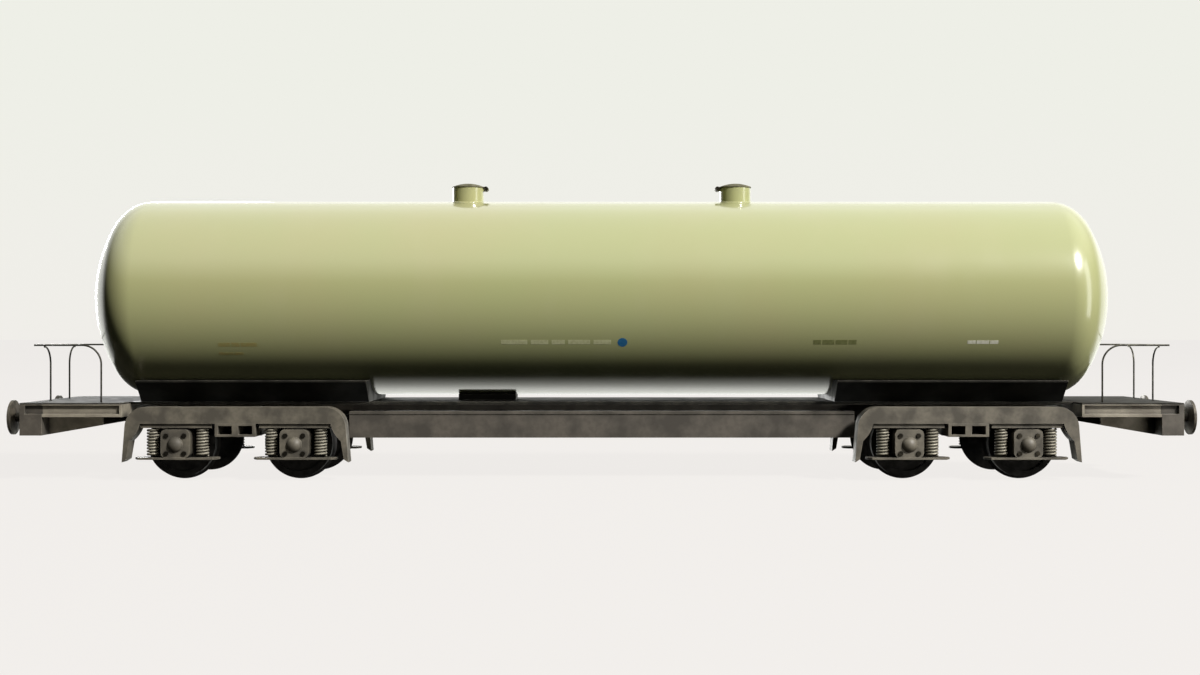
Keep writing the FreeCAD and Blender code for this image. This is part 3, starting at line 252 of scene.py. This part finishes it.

# %% [markdown]
# ## Weathered paint for the frame and the bogies
# The underframe and the bogies are cast and pressed metal under a matt grey-brown paint, as
# brake dust leaves it. From below the eye sees three layers: a light and a dark tone that cloud
# into each other over a few millimetres, a near-black painted shade in the inner corners, and
# lighter metal where the outer edges are rubbed. The same recipe with other tones makes the black
# saddles and the deck.

# %% Weathered paint
def weathered_paint(name, light, dark, corner_shade_tone, rubbed, patch_mm=9.0, roughness=0.6, wear=0.6, grain=0.03,
                    shine=0.5):
    material, tree, output = new_material(name)
    clouds = patches(tree, patch_mm, 0.38, 0.62, detail=6.0)
    specks = patches(tree, patch_mm / 5, 0.45, 0.75, detail=6.0)
    tone = add_node(tree, "ShaderNodeMix",
                    {MIX_FACTOR: clouds, MIX_A: linear(light), MIX_B: linear(dark)}, data_type="RGBA")
    half_specks = add_node(tree, "ShaderNodeMath", {0: specks, 1: 0.5}, operation="MULTIPLY")
    speckled = add_node(tree, "ShaderNodeMix",
                        {MIX_FACTOR: half_specks.outputs[0], MIX_A: tone.outputs[MIX_RESULT],
                         MIX_B: linear(dark)}, data_type="RGBA")
    # Painted shade: the inner corners are mixed towards the near-black shade tone.
    corner_shaded = add_node(tree, "ShaderNodeMix",
                     {MIX_FACTOR: painted_corner_shade(tree, 3.0), MIX_A: speckled.outputs[MIX_RESULT],
                      MIX_B: linear(corner_shade_tone)}, data_type="RGBA")
    rub = add_node(tree, "ShaderNodeMath",
                   {0: worn_edges(tree, 0.35, patches(tree, 4.0, 0.3, 0.6)), 1: wear}, operation="MULTIPLY")
    worn = add_node(tree, "ShaderNodeMix",
                    {MIX_FACTOR: rub.outputs[0], MIX_A: corner_shaded.outputs[MIX_RESULT], MIX_B: linear(rubbed)},
                    data_type="RGBA")
    dull = add_node(tree, "ShaderNodeMapRange",
                    {"Value": clouds, "To Min": roughness - 0.08, "To Max": roughness + 0.1})
    shader = add_node(tree, "ShaderNodeBsdfPrincipled",
                      {"Base Color": worn.outputs[MIX_RESULT], "Roughness": dull.outputs[0],
                       "IOR": PAINT_IOR, "Specular IOR Level": shine,
                       "Normal": grain_bump(tree, 1.1, grain)})
    tree.links.new(shader.outputs[0], output.inputs["Surface"])
    return material


frame_paint = weathered_paint("weathered_frame_paint", "524D45", "36322B", "12100C", "8F8976")
bogie_paint = weathered_paint("weathered_bogie_paint", "645F53", "413D34", "15130E", "9A9484",
                              patch_mm=7.0)
# A lighter copy of the frame paint: painted light for the gussets and platform frames, which stand in the
# decks' shade.
painted_light_end_paint = weathered_paint("end_paint_with_painted_light", "8A8475", "6B6559", "2A2620", "A29C8B", patch_mm=8.0)
saddle_paint = weathered_paint("black_saddle_paint", "1B1A16", "12110E", "060605", "8C897C", wear=0.8,
                               shine=0.12)
deck_paint = weathered_paint("worn_deck_paint", "2C2A25", "1C1B18", "0A0908", "7C776A", patch_mm=6.0,
                             roughness=0.85, shine=0.2)
lid_paint = weathered_paint("dark_lid_paint", "6E6B56", "55533F", "1A1912", "807C66", patch_mm=2.5,
                            roughness=0.7, wear=0.1, grain=0.01, shine=0.15)
print("weathered paints:", [m.name for m in (frame_paint, bogie_paint, painted_light_end_paint, saddle_paint,
                                             deck_paint, lid_paint)])

# %% [markdown]
# ## Bare and blackened metal
# Springs, wheels, wires, buffers and bolts aren't painted. Steel is metallic, so its colour is in
# its reflection and there is no diffuse layer under it; the wires and bolts are blackened steel of
# that kind. Dust and oil hide most of the metal on the springs, wheels and buffers, which have
# only a small metallic share. The same inner-corner mask paints shade between the turns of a
# spring and in the other inner corners, darkening the metal there.

# %% Metals
def oiled_metal(name, bright, dull_tone, corner_shade_tone, roughness=0.38, metallic=1.0, patch_mm=3.0):
    material, tree, output = new_material(name)
    stains = patches(tree, patch_mm, 0.35, 0.65, detail=5.0)
    tone = add_node(tree, "ShaderNodeMix",
                    {MIX_FACTOR: stains, MIX_A: linear(bright), MIX_B: linear(dull_tone)}, data_type="RGBA")
    # Painted shade: inner corners and the gaps between coils are mixed towards the dark shade tone.
    corner_shaded = add_node(tree, "ShaderNodeMix",
                     {MIX_FACTOR: painted_corner_shade(tree, 1.5), MIX_A: tone.outputs[MIX_RESULT],
                      MIX_B: linear(corner_shade_tone)}, data_type="RGBA")
    dull = add_node(tree, "ShaderNodeMapRange",
                    {"Value": stains, "To Min": roughness, "To Max": roughness + 0.2})
    shader = add_node(tree, "ShaderNodeBsdfPrincipled",
                      {"Base Color": corner_shaded.outputs[MIX_RESULT], "Roughness": dull.outputs[0],
                       "Metallic": metallic, "Normal": grain_bump(tree, 0.5, 0.008)})
    tree.links.new(shader.outputs[0], output.inputs["Surface"])
    return material


spring_steel = oiled_metal("dusty_spring_steel", "928E7F", "736F62", "322F28",
                           roughness=0.5, metallic=0.25)
buffer_steel = oiled_metal("darkened_buffer_steel", "5C564A", "3B3730", "100E0B",
                           roughness=0.5, metallic=0.4)
wheel_steel = oiled_metal("blackened_wheel_steel", "1C1B19", "11100F", "060606",
                          roughness=0.75, metallic=0.1)
wire_steel = oiled_metal("blackened_rail_wire", "54524A", "34322D", "121110", roughness=0.35)
bolt_steel = oiled_metal("blackened_bolt_steel", "3A3730", "24221D", "0B0A08", roughness=0.4)
print("metals:", [m.name for m in (spring_steel, buffer_steel, wheel_steel, wire_steel, bolt_steel)])

# %% [markdown]
# ## Which node wears which finish
# The record lists a material slot for every CAD node, so one table from slot to material covers
# the whole wagon: no node is forgotten, and the names match the part's own.

# %% Materials on the CAD nodes
finish_of_slot = {
    "tank_paint": tank_enamel, "lid_paint": lid_paint, "saddle_paint": saddle_paint,
    "frame_paint": frame_paint, "deck_paint": deck_paint, "rail_wire": wire_steel,
    "buffer_steel": buffer_steel, "bogie_paint": bogie_paint, "spring_steel": spring_steel,
    "bolt_steel": bolt_steel, "wheel_steel": wheel_steel,
}
slot_of_node = {part["node"]: part["material_slot"] for part in frame["record"]["subparts"]}
for name, node in frame["nodes"].items():
    node.data.materials.clear()
    node.data.materials.append(finish_of_slot[slot_of_node[name]])
print(len(slot_of_node), "nodes have a finish")

# %% [markdown]
# ## Finishing a mesh
# A finished piece is a mesh whose place is in its vertices, with its object at the origin. One
# function turns a bmesh into such an object: it merges doubled points, turns the faces outwards,
# shades them smooth and puts the piece on its CAD body.

# %% Mesh helper
MERGE_DISTANCE = 0.002 * MM
FULL_TURN = 2 * math.pi


def finish_piece(mesh_being_made, name, body, material, replaced=(), sharp_degrees=35):
    bmesh.ops.remove_doubles(mesh_being_made, verts=mesh_being_made.verts, dist=MERGE_DISTANCE)
    bmesh.ops.recalc_face_normals(mesh_being_made, faces=mesh_being_made.faces)
    for face in mesh_being_made.faces:
        face.smooth = True
    mesh = bpy.data.meshes.new(name)
    mesh_being_made.to_mesh(mesh)
    mesh_being_made.free()
    mesh.materials.append(material)
    mesh.set_sharp_from_angle(angle=math.radians(sharp_degrees))
    piece = bpy.data.objects.new(name, mesh)
    bpy.context.scene.collection.objects.link(piece)
    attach(piece, body)
    if replaced:
        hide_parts(*replaced)
    return piece


# %% [markdown]
# ## The tank
# The tank's gloss shows every facet, so it is turned again here from far finer steps than the CAD
# mesh has. A dished end is two arcs: a wide crown in the middle and a tight knuckle that runs
# into the barrel. Both arcs are drawn by spinning one point about the arc's own centre, the
# barrel is one extruded edge, and a full spin about the tank's axis makes the shell. The crown
# meets the knuckle without a kink only at one angle, which the two radii and the barrel's fix.

# %% Tank shell
TANK_CROWN_RADIUS = 59 * MM
TANK_KNUCKLE_RADIUS = 15 * MM
CROWN_STEPS = 14
KNUCKLE_STEPS = 20
BARREL_STEPS = 12
TURNING_STEPS = 192

tank_low, tank_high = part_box("tank_shell")
tank_radius = (tank_high.y - tank_low.y) / 2
tank_axis = (tank_high.z + tank_low.z) / 2
tank_half = tank_high.x
centre_rise = tank_radius - TANK_KNUCKLE_RADIUS
centre_gap = TANK_CROWN_RADIUS - TANK_KNUCKLE_RADIUS
joint_angle = math.asin(centre_rise / centre_gap)
crown_centre = tank_half - TANK_CROWN_RADIUS
barrel_half = crown_centre + centre_gap * math.cos(joint_angle)


def turn_tank():
    made = bmesh.new()
    pole = made.verts.new((tank_half, 0, tank_axis))
    arc = bmesh.ops.spin(made, geom=[pole], cent=(crown_centre, 0, tank_axis), axis=(0, -1, 0),
                         angle=joint_angle, steps=CROWN_STEPS)
    end = [part for part in arc["geom_last"] if isinstance(part, bmesh.types.BMVert)]
    arc = bmesh.ops.spin(made, geom=end, cent=(barrel_half, 0, tank_axis + centre_rise), axis=(0, -1, 0),
                         angle=math.pi / 2 - joint_angle, steps=KNUCKLE_STEPS)
    end = [part for part in arc["geom_last"] if isinstance(part, bmesh.types.BMVert)]
    for _ in range(BARREL_STEPS):
        grown = bmesh.ops.extrude_vert_indiv(made, verts=end)
        end = grown["verts"]
        bmesh.ops.translate(made, verts=end, vec=(-barrel_half / BARREL_STEPS, 0, 0))
    bmesh.ops.spin(made, geom=made.verts[:] + made.edges[:], cent=(0, 0, tank_axis), axis=(1, 0, 0),
                   angle=FULL_TURN, steps=TURNING_STEPS, use_merge=True)
    bmesh.ops.remove_doubles(made, verts=made.verts, dist=MERGE_DISTANCE)
    bmesh.ops.mirror(made, geom=made.verts[:] + made.edges[:] + made.faces[:], matrix=Matrix.Identity(4),
                     merge_dist=MERGE_DISTANCE, axis="X")
    return made


tank = finish_piece(turn_tank(), "tank_skin", "wagon", tank_enamel,
                    replaced=["tank_shell"], sharp_degrees=60)
print("tank of", len(tank.data.polygons), "faces, radius", round(tank_radius / MM, 2), "mm")

# %% [markdown]
# ## Soft edges for the plates and castings
# No cast or pressed part has a knife edge: its corners are rounded by a tenth of a millimetre or
# more, and that round is what catches the light as a fine pale line. The CAD nodes have true
# sharp edges and loose triangles, so each is copied, its doubled points merged and its flat
# triangles joined, and then every edge that turns by more than 30 degrees is beveled. Weighted
# normals keep the flat faces flat. The copy stands in for the node, on the same body.

# %% Softened copies of the plates and castings
EDGE_ANGLE = math.radians(30)
FLAT_ANGLE = math.radians(0.5)
BEVEL_SEGMENTS = 2
soft_widths = {
    "frame_plate": 0.12, "saddles": 0.15, "outlet_box": 0.2, "centre_sills": 0.12, "bolsters": 0.2,
    "sole_bars": 0.12, "decks": 0.1, "platform_frame_left": 0.12, "platform_frame_right": 0.12,
    "buffer_beam_left": 0.15, "buffer_beam_right": 0.15, "gussets": 0.1, "transom_left": 0.15,
    "transom_right": 0.15,
}
for end in ("left", "right"):
    for side in ("near", "far"):
        soft_widths[f"side_frame_{end}_{side}"] = 0.2
for number in (1, 2, 3, 4):
    soft_widths[f"axle_boxes_{number}"] = 0.12
    soft_widths[f"spring_planks_{number}"] = 0.08


# The gussets and the platform frames stand in the decks' shade, so they get a lighter paint that
# is painted light; the top plate gets the black saddle paint, a painted shade for the tank's shadow.
special_finish = {
    "gussets": painted_light_end_paint, "platform_frame_left": painted_light_end_paint, "platform_frame_right": painted_light_end_paint,
    # Painted shade: the top plate is given the saddles' black, standing in for the shadow under the tank.
    "frame_plate": saddle_paint,
}


def soften(name, width_mm):
    node = frame["nodes"][name]
    made = bmesh.new()
    made.from_mesh(node.data)
    bmesh.ops.remove_doubles(made, verts=made.verts, dist=MERGE_DISTANCE)
    bmesh.ops.dissolve_limit(made, angle_limit=FLAT_ANGLE, verts=made.verts, edges=made.edges)
    edges = [edge for edge in made.edges if edge.is_manifold and edge.calc_face_angle() > EDGE_ANGLE]
    bmesh.ops.bevel(made, geom=edges, offset=width_mm * MM, offset_type="OFFSET",
                    segments=BEVEL_SEGMENTS, profile=0.5, affect="EDGES", clamp_overlap=True, material=-1)
    slot = slot_of_node[name]
    finish = special_finish.get(name, finish_of_slot[slot])
    piece = finish_piece(made, "soft_" + name, node["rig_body"], finish, replaced=[name],
                         sharp_degrees=60)
    weights = piece.modifiers.new("flat faces stay flat", "WEIGHTED_NORMAL")
    weights.keep_sharp = True
    return len(edges)


for name, width in soft_widths.items():
    count = soften(name, width)
    print("softened", name, "on", count, "edges")

# The belly's pale line is the bright surround in its gloss, so the frame below doesn't cover it.
for name in ("frame_plate", "centre_sills", "sole_bars", "bolsters"):
    bpy.data.objects["soft_" + name].visible_glossy = False

# %% [markdown]
# ## The coil springs
# A coil spring is a round wire wound on a rod. The CAD coils are copied, so that their doubled
# points merge and each turn shades as round wire.


def copy_spring(name):
    """Copies a CAD spring into a piece with a mesh of its own, on the same body, in spring steel."""
    node = frame["nodes"][name]
    made = bmesh.new()
    made.from_mesh(node.data)
    piece = finish_piece(made, "coil_" + name, node["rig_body"], spring_steel,
                         replaced=[name], sharp_degrees=60)
    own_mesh(piece)


for number in (1, 2, 3, 4):
    copy_spring(f"springs_{number}")
for end, fixed_corner in (("left", 1), ("right", 0)):
    for side in ("near", "far"):
        copy_spring(f"buffer_spring_{end}_{side}")

# %% [markdown]
# ## Weld beads round the necks
# Each manway neck is welded to the barrel, and the weld is a small rounded bead that follows the
# curve where an upright tube meets a lying one. A torus is spun from a small circle round the
# neck, and each of its points is then dropped by as much as the barrel falls away beneath it.

# %% Weld beads
BEAD_RADIUS = 0.3 * MM
BEAD_STEPS = 96
BEAD_SEGMENTS = 12
NECK_RADIUS = 6.25 * MM
NECK_OFFSET = 54.5 * MM


def make_weld_bead(end, spot):
    made = bmesh.new()
    spun = bmesh.ops.create_circle(made, segments=BEAD_SEGMENTS, radius=BEAD_RADIUS)
    bmesh.ops.rotate(made, verts=spun["verts"], cent=(0, 0, 0),
                     matrix=Matrix.Rotation(math.pi / 2, 3, "X"))
    bmesh.ops.translate(made, verts=spun["verts"],
                        vec=(spot + NECK_RADIUS, 0, tank_axis + tank_radius))
    bmesh.ops.spin(made, geom=made.verts[:] + made.edges[:], cent=(spot, 0, 0), axis=(0, 0, 1),
                   angle=FULL_TURN, steps=BEAD_STEPS, use_merge=True)
    for vert in made.verts:
        vert.co.z -= tank_radius - math.sqrt(tank_radius ** 2 - vert.co.y ** 2)
    finish_piece(made, f"neck_weld_{end}", "wagon", tank_enamel, sharp_degrees=80)


for end, sign in (("left", -1), ("right", 1)):
    make_weld_bead(end, sign * NECK_OFFSET)
print("two weld beads, at", round(NECK_OFFSET / MM, 1), "mm each side of the middle")

# %% [markdown]
# ## Domed caps and hinge rings
# Each axle box has a domed cap over the end of its bearing. The dome is an arc spun about the
# journal's axis, a hair outside the CAD cap, so that it shades as one smooth ball. The lids hang
# on pins, and a blackened ring closes each end of a pin outside the hinge ears.

# %% Caps and rings
CAP_RADIUS = 3.05 * MM
CAP_RISE = 2.0 * MM
CAP_STEPS = 12
CAP_TURNING_STEPS = 48
AXLE_HEIGHT = 14.25 * MM
BOX_FACE = 37.0 * MM
RING_RADIUS = 0.72 * MM
RING_WIRE = 0.27 * MM
RING_STEPS = 32
RING_SEGMENTS = 10
HINGE_PLACE = Vector((47.2, 2.0, 116.3)) * MM


def make_caps(number):
    """Two domes on one body, the far one a mirror of the near one."""
    low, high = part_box(f"axle_{number}")
    along = (low.x + high.x) / 2
    ball = (CAP_RADIUS ** 2 + CAP_RISE ** 2) / (2 * CAP_RISE)
    made = bmesh.new()
    rim = made.verts.new((along + CAP_RADIUS, -BOX_FACE, AXLE_HEIGHT))
    bmesh.ops.spin(made, geom=[rim], cent=(along, ball - CAP_RISE - BOX_FACE, AXLE_HEIGHT),
                   axis=(0, 0, -1), angle=math.asin(CAP_RADIUS / ball), steps=CAP_STEPS)
    bmesh.ops.spin(made, geom=made.verts[:] + made.edges[:], cent=(along, 0, AXLE_HEIGHT),
                   axis=(0, 1, 0), angle=FULL_TURN, steps=CAP_TURNING_STEPS, use_merge=True)
    bmesh.ops.remove_doubles(made, verts=made.verts, dist=MERGE_DISTANCE)
    open_edges = [edge for edge in made.edges if edge.is_boundary]
    bmesh.ops.contextual_create(made, geom=open_edges)
    copies = bmesh.ops.duplicate(made, geom=made.verts[:] + made.edges[:] + made.faces[:])
    for part in copies["geom"]:
        if isinstance(part, bmesh.types.BMVert):
            part.co.y = -part.co.y
    finish_piece(made, f"box_caps_{number}", f"suspension_{number}", bogie_paint)


def make_hinge_rings(end, sign):
    made = bmesh.new()
    for side in (-1, 1):
        spot = Vector((sign * HINGE_PLACE.x, side * HINGE_PLACE.y, HINGE_PLACE.z))
        loop = bmesh.ops.create_circle(made, segments=RING_SEGMENTS, radius=RING_WIRE)["verts"]
        bmesh.ops.translate(made, verts=loop, vec=spot + Vector((RING_RADIUS, 0, 0)))
        edges = list({edge for vert in loop for edge in vert.link_edges})
        bmesh.ops.spin(made, geom=loop + edges, cent=spot, axis=(0, 1, 0), angle=FULL_TURN,
                       steps=RING_STEPS, use_merge=True)
    finish_piece(made, f"hinge_rings_{end}", "wagon", bolt_steel)


for number in (1, 2, 3, 4):
    make_caps(number)
for end, sign in (("left", -1), ("right", 1)):
    make_hinge_rings(end, sign)
print("eight domed caps and four hinge rings")

# %% [markdown]
# ## Marks on the tank
# A real tank wagon carries a few painted marks low on its side. Here they are only plain bars and
# one plain dot, with no letters or figures. Each is a very thin solid wrapped on the barrel: a
# flat block is cut into strips along its height, and its points are laid round the tank.

# %% Marks
MARK_THICKNESS = 0.05 * MM
GAP_SHARE = 0.03
CUTS_UP_A_BAR = 3


def printed_ink(name, ink, worn_ink):
    material, tree, output = new_material(name)
    faded = patches(tree, 1.2, 0.35, 0.7)
    colour = add_node(tree, "ShaderNodeMix",
                      {MIX_FACTOR: faded, MIX_A: linear(ink), MIX_B: linear(worn_ink)}, data_type="RGBA")
    shader = add_node(tree, "ShaderNodeBsdfPrincipled",
                      {"Base Color": colour.outputs[MIX_RESULT], "Roughness": 0.45, "IOR": PAINT_IOR})
    tree.links.new(shader.outputs[0], output.inputs["Surface"])
    return material


def lay_on_tank(made, across, height):
    """Wraps points drawn flat (X along, Z up, Y out of the face) round the barrel's near side."""
    middle = math.asin((tank_axis - height) / tank_radius)
    for vert in made.verts:
        down = middle - vert.co.z / tank_radius
        out = tank_radius + vert.co.y
        vert.co = Vector((across + vert.co.x, -out * math.cos(down), tank_axis - out * math.sin(down)))


def make_bars(name, left_mm, right_mm, height_mm, tall_mm, lengths, material):
    """A row of plain bars that share the stretch from left to right in these proportions."""
    made = bmesh.new()
    gap = (right_mm - left_mm) * GAP_SHARE
    unit = (right_mm - left_mm - gap * (len(lengths) - 1)) / sum(lengths)
    start = left_mm
    middle = (left_mm + right_mm) / 2
    for length in lengths:
        wide = length * unit
        bar = bmesh.ops.create_cube(made, size=1.0)["verts"]
        bmesh.ops.scale(made, verts=bar, vec=(wide * MM, MARK_THICKNESS, tall_mm * MM))
        bmesh.ops.translate(made, verts=bar, vec=((start + wide / 2 - middle) * MM, 0, 0))
        start += wide + gap
    upright = [e for e in made.edges if abs(e.verts[0].co.z - e.verts[1].co.z) > tall_mm * MM / 2]
    bmesh.ops.subdivide_edges(made, edges=upright, cuts=CUTS_UP_A_BAR, use_grid_fill=True)
    lay_on_tank(made, middle * MM, height_mm * MM)
    return finish_piece(made, name, "wagon", material)


pale_ink = printed_ink("pale_grey_ink", "C4C69B", "AFB083")
white_ink = printed_ink("white_ink", "E9E8D6", "CFCFB4")
dark_ink = printed_ink("dark_olive_ink", "6E7145", "7F8353")
brown_ink = printed_ink("faded_brown_ink", "9A8C55", "99975F")
blue_ink = printed_ink("blue_ink", "1F5F8F", "2E6C94")

marks = [
    make_bars("mark_line", -39.1, 3.6, 53.9, 1.9, [6, 4, 3, 5, 4], pale_ink),
    make_bars("mark_dark", 82.0, 98.8, 53.9, 2.0, [2, 3, 3, 2], dark_ink),
    make_bars("mark_white", 141.8, 153.8, 53.9, 1.5, [2, 3, 2], white_ink),
    make_bars("mark_brown_upper", -149.0, -133.8, 52.9, 1.7, [3, 2, 4], brown_ink),
    make_bars("mark_brown_lower", -149.0, -139.5, 49.4, 1.2, [3, 2], brown_ink),
]
print(len(marks), "rows of bars")

# %% The plain dot
DOT_RADIUS = 1.9 * MM
DOT_SEGMENTS = 40
DOT_PLACE = (8.0 * MM, 53.8 * MM)


def make_dot():
    made = bmesh.new()
    bmesh.ops.create_cone(made, cap_ends=True, cap_tris=True, segments=DOT_SEGMENTS, radius1=DOT_RADIUS,
                          radius2=DOT_RADIUS, depth=MARK_THICKNESS)
    bmesh.ops.rotate(made, verts=made.verts, cent=(0, 0, 0), matrix=Matrix.Rotation(math.pi / 2, 3, "X"))
    lay_on_tank(made, *DOT_PLACE)
    finish_piece(made, "mark_dot", "wagon", blue_ink)


make_dot()
print("one dot,", round(2 * DOT_RADIUS / MM, 1), "mm across")

# %% [markdown]
# ## The floor, the light and the air round it
# The wagon stands on a plain pale floor against an even pale surround, so only its own shading
# tells its shape. The key light is a wide soft lamp high on the right, in front: it leaves the
# left of every round thing and all undersides dark. A tall narrow lamp at the right makes the
# white highlight on the tank's end, and a softer lamp low behind, which lights the wagon alone,
# keeps its far side readable. Two weak lamps in front light only some pieces: one the underframe
# and the bogies, the other the gussets, the platform frames and the axle springs. In reflections
# the surround is dark, except overhead and behind, which gives the pale line along the top and
# the rim on the left end.

# %% Floor
FLOOR_RADIUS = 40.0
FLOOR_STEPS = 64


def make_floor():
    material, tree, output = new_material("pale_studio_floor")
    glow = add_node(tree, "ShaderNodeEmission", {"Color": linear("EDEAE7"), "Strength": 1.04})
    matt = add_node(tree, "ShaderNodeBsdfDiffuse", {"Color": linear("E9E7E0")})
    mottle = patches(tree, 900, 0.3, 0.7)
    share = add_node(tree, "ShaderNodeMapRange", {"Value": mottle, "To Min": 0.035, "To Max": 0.045})
    mixed = add_node(tree, "ShaderNodeMixShader",
                     {0: share.outputs[0], 1: glow.outputs[0], 2: matt.outputs[0]})
    tree.links.new(mixed.outputs[0], output.inputs["Surface"])
    made = bmesh.new()
    bmesh.ops.create_circle(made, cap_ends=True, segments=FLOOR_STEPS, radius=FLOOR_RADIUS)
    mesh = bpy.data.meshes.new("floor")
    made.to_mesh(mesh)
    made.free()
    mesh.materials.append(material)
    floor = bpy.data.objects.new("floor", mesh)
    bpy.context.scene.collection.objects.link(floor)
    floor.visible_diffuse = False
    floor.visible_glossy = False
    floor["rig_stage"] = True


make_floor()
print("floor", FLOOR_RADIUS, "m in radius")

# %% Lamps
def add_lamp(name, toward, distance, size, watts, tone="FFFFFF"):
    """A soft lamp that stands in the direction given and faces the middle of the tank."""
    lamp = bpy.data.objects.new(name, bpy.data.lights.new(name, "AREA"))
    lamp.data.shape = "RECTANGLE"
    lamp.data.size, lamp.data.size_y = size
    lamp.data.energy = watts
    lamp.data.color = linear(tone)[:3]
    middle = Vector((0, 0, tank_axis))
    direction = Vector(toward).normalized()
    lamp.location = middle + direction * distance
    lamp.rotation_euler = direction.to_track_quat("Z", "Y").to_euler()
    lamp.visible_camera = False
    bpy.context.scene.collection.objects.link(lamp)
    return lamp


key = add_lamp("key_lamp", (0.6, -0.6, 0.64), 4.0, (0.5, 0.5), 268, tone="FFFCFA")
highlight = add_lamp("end_lamp", (0.876, -0.365, 0.12), 1.6, (0.4, 1.3), 6)
back = add_lamp("back_lamp", (-0.4, 1.0, 0.1), 4.0, (1.2, 0.8), 90)
low_fill = add_lamp("low_lamp", (0.5, -1.0, -0.02), 2.5, (0.8, 0.05), 9, tone="FFF8EA")
front = add_lamp("front_lamp", (0.7, -1.0, -0.05), 2.5, (0.6, 0.1), 22, tone="FFFAF0")
lit_low = bpy.data.collections.new("lit by the low lamp")
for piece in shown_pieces():
    if not piece.name.startswith(("tank_", "neck_", "manway_", "hatch_", "mark_", "soft_saddles")):
        lit_low.objects.link(piece)
low_fill.light_linking.receiver_collection = lit_low
lit_front = bpy.data.collections.new("lit by the front lamp")
lit_back = bpy.data.collections.new("lit by the back lamp")
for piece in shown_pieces():
    lit_back.objects.link(piece)
    if piece.name.startswith(("soft_gussets", "soft_platform", "coil_springs_")):
        lit_front.objects.link(piece)
front.light_linking.receiver_collection = lit_front
back.light_linking.receiver_collection = lit_back

# %% Surround
BACKGROUND = "EEEFE7"
HORIZON = "F0EEE9"


def make_surround():
    """Even and pale to the camera; dark to reflections except behind the wagon, above and below."""
    world = bpy.data.worlds.new("studio")
    world.use_nodes = True
    tree = world.node_tree
    tree.nodes.clear()
    output = add_node(tree, "ShaderNodeOutputWorld")
    direction = add_node(tree, "ShaderNodeTexCoord").outputs["Generated"]
    parts = add_node(tree, "ShaderNodeSeparateXYZ", {0: direction})
    path = add_node(tree, "ShaderNodeLightPath")
    above = add_node(tree, "ShaderNodeMapRange",
                     {"Value": parts.outputs["Z"], "From Min": 0.0, "From Max": 1.0, "To Min": 0.006,
                      "To Max": 0.12})
    behind = add_node(tree, "ShaderNodeMapRange",
                      {"Value": parts.outputs["Y"], "From Min": 0.3, "From Max": 0.75, "To Max": 1.4})
    low = add_node(tree, "ShaderNodeMapRange",
                   {"Value": parts.outputs["Z"], "From Min": -0.3, "From Max": -0.7, "To Min": 1.0,
                    "To Max": 1.3})
    high = add_node(tree, "ShaderNodeMapRange",
                    {"Value": parts.outputs["Z"], "From Min": 0.3, "From Max": 0.7, "To Max": 1.6})
    glow = add_node(tree, "ShaderNodeMath",
                    {0: behind.outputs[0], 1: low.outputs[0]}, operation="MULTIPLY")
    brighter = add_node(tree, "ShaderNodeMath",
                        {0: glow.outputs[0], 1: high.outputs[0]}, operation="MAXIMUM")
    mirrored = add_node(tree, "ShaderNodeMath",
                        {0: brighter.outputs[0], 1: path.outputs["Is Glossy Ray"]}, operation="MULTIPLY")
    total = add_node(tree, "ShaderNodeMath",
                     {0: above.outputs[0], 1: mirrored.outputs[0]}, operation="ADD")
    light = add_node(tree, "ShaderNodeBackground",
                     {"Color": linear("F4F5EE"), "Strength": total.outputs[0]})
    rise = add_node(tree, "ShaderNodeMapRange", {"Value": parts.outputs["Z"], "From Max": 0.15})
    even = add_node(tree, "ShaderNodeMix",
                    {MIX_FACTOR: rise.outputs[0], MIX_A: linear(HORIZON), MIX_B: linear(BACKGROUND)},
                    data_type="RGBA")
    seen = add_node(tree, "ShaderNodeBackground", {"Color": even.outputs[MIX_RESULT], "Strength": 1.0})
    mixed = add_node(tree, "ShaderNodeMixShader",
                     {0: path.outputs["Is Camera Ray"], 1: light.outputs[0], 2: seen.outputs[0]})
    tree.links.new(mixed.outputs[0], output.inputs["Surface"])
    bpy.context.scene.world = world


make_surround()
print("surround ready")
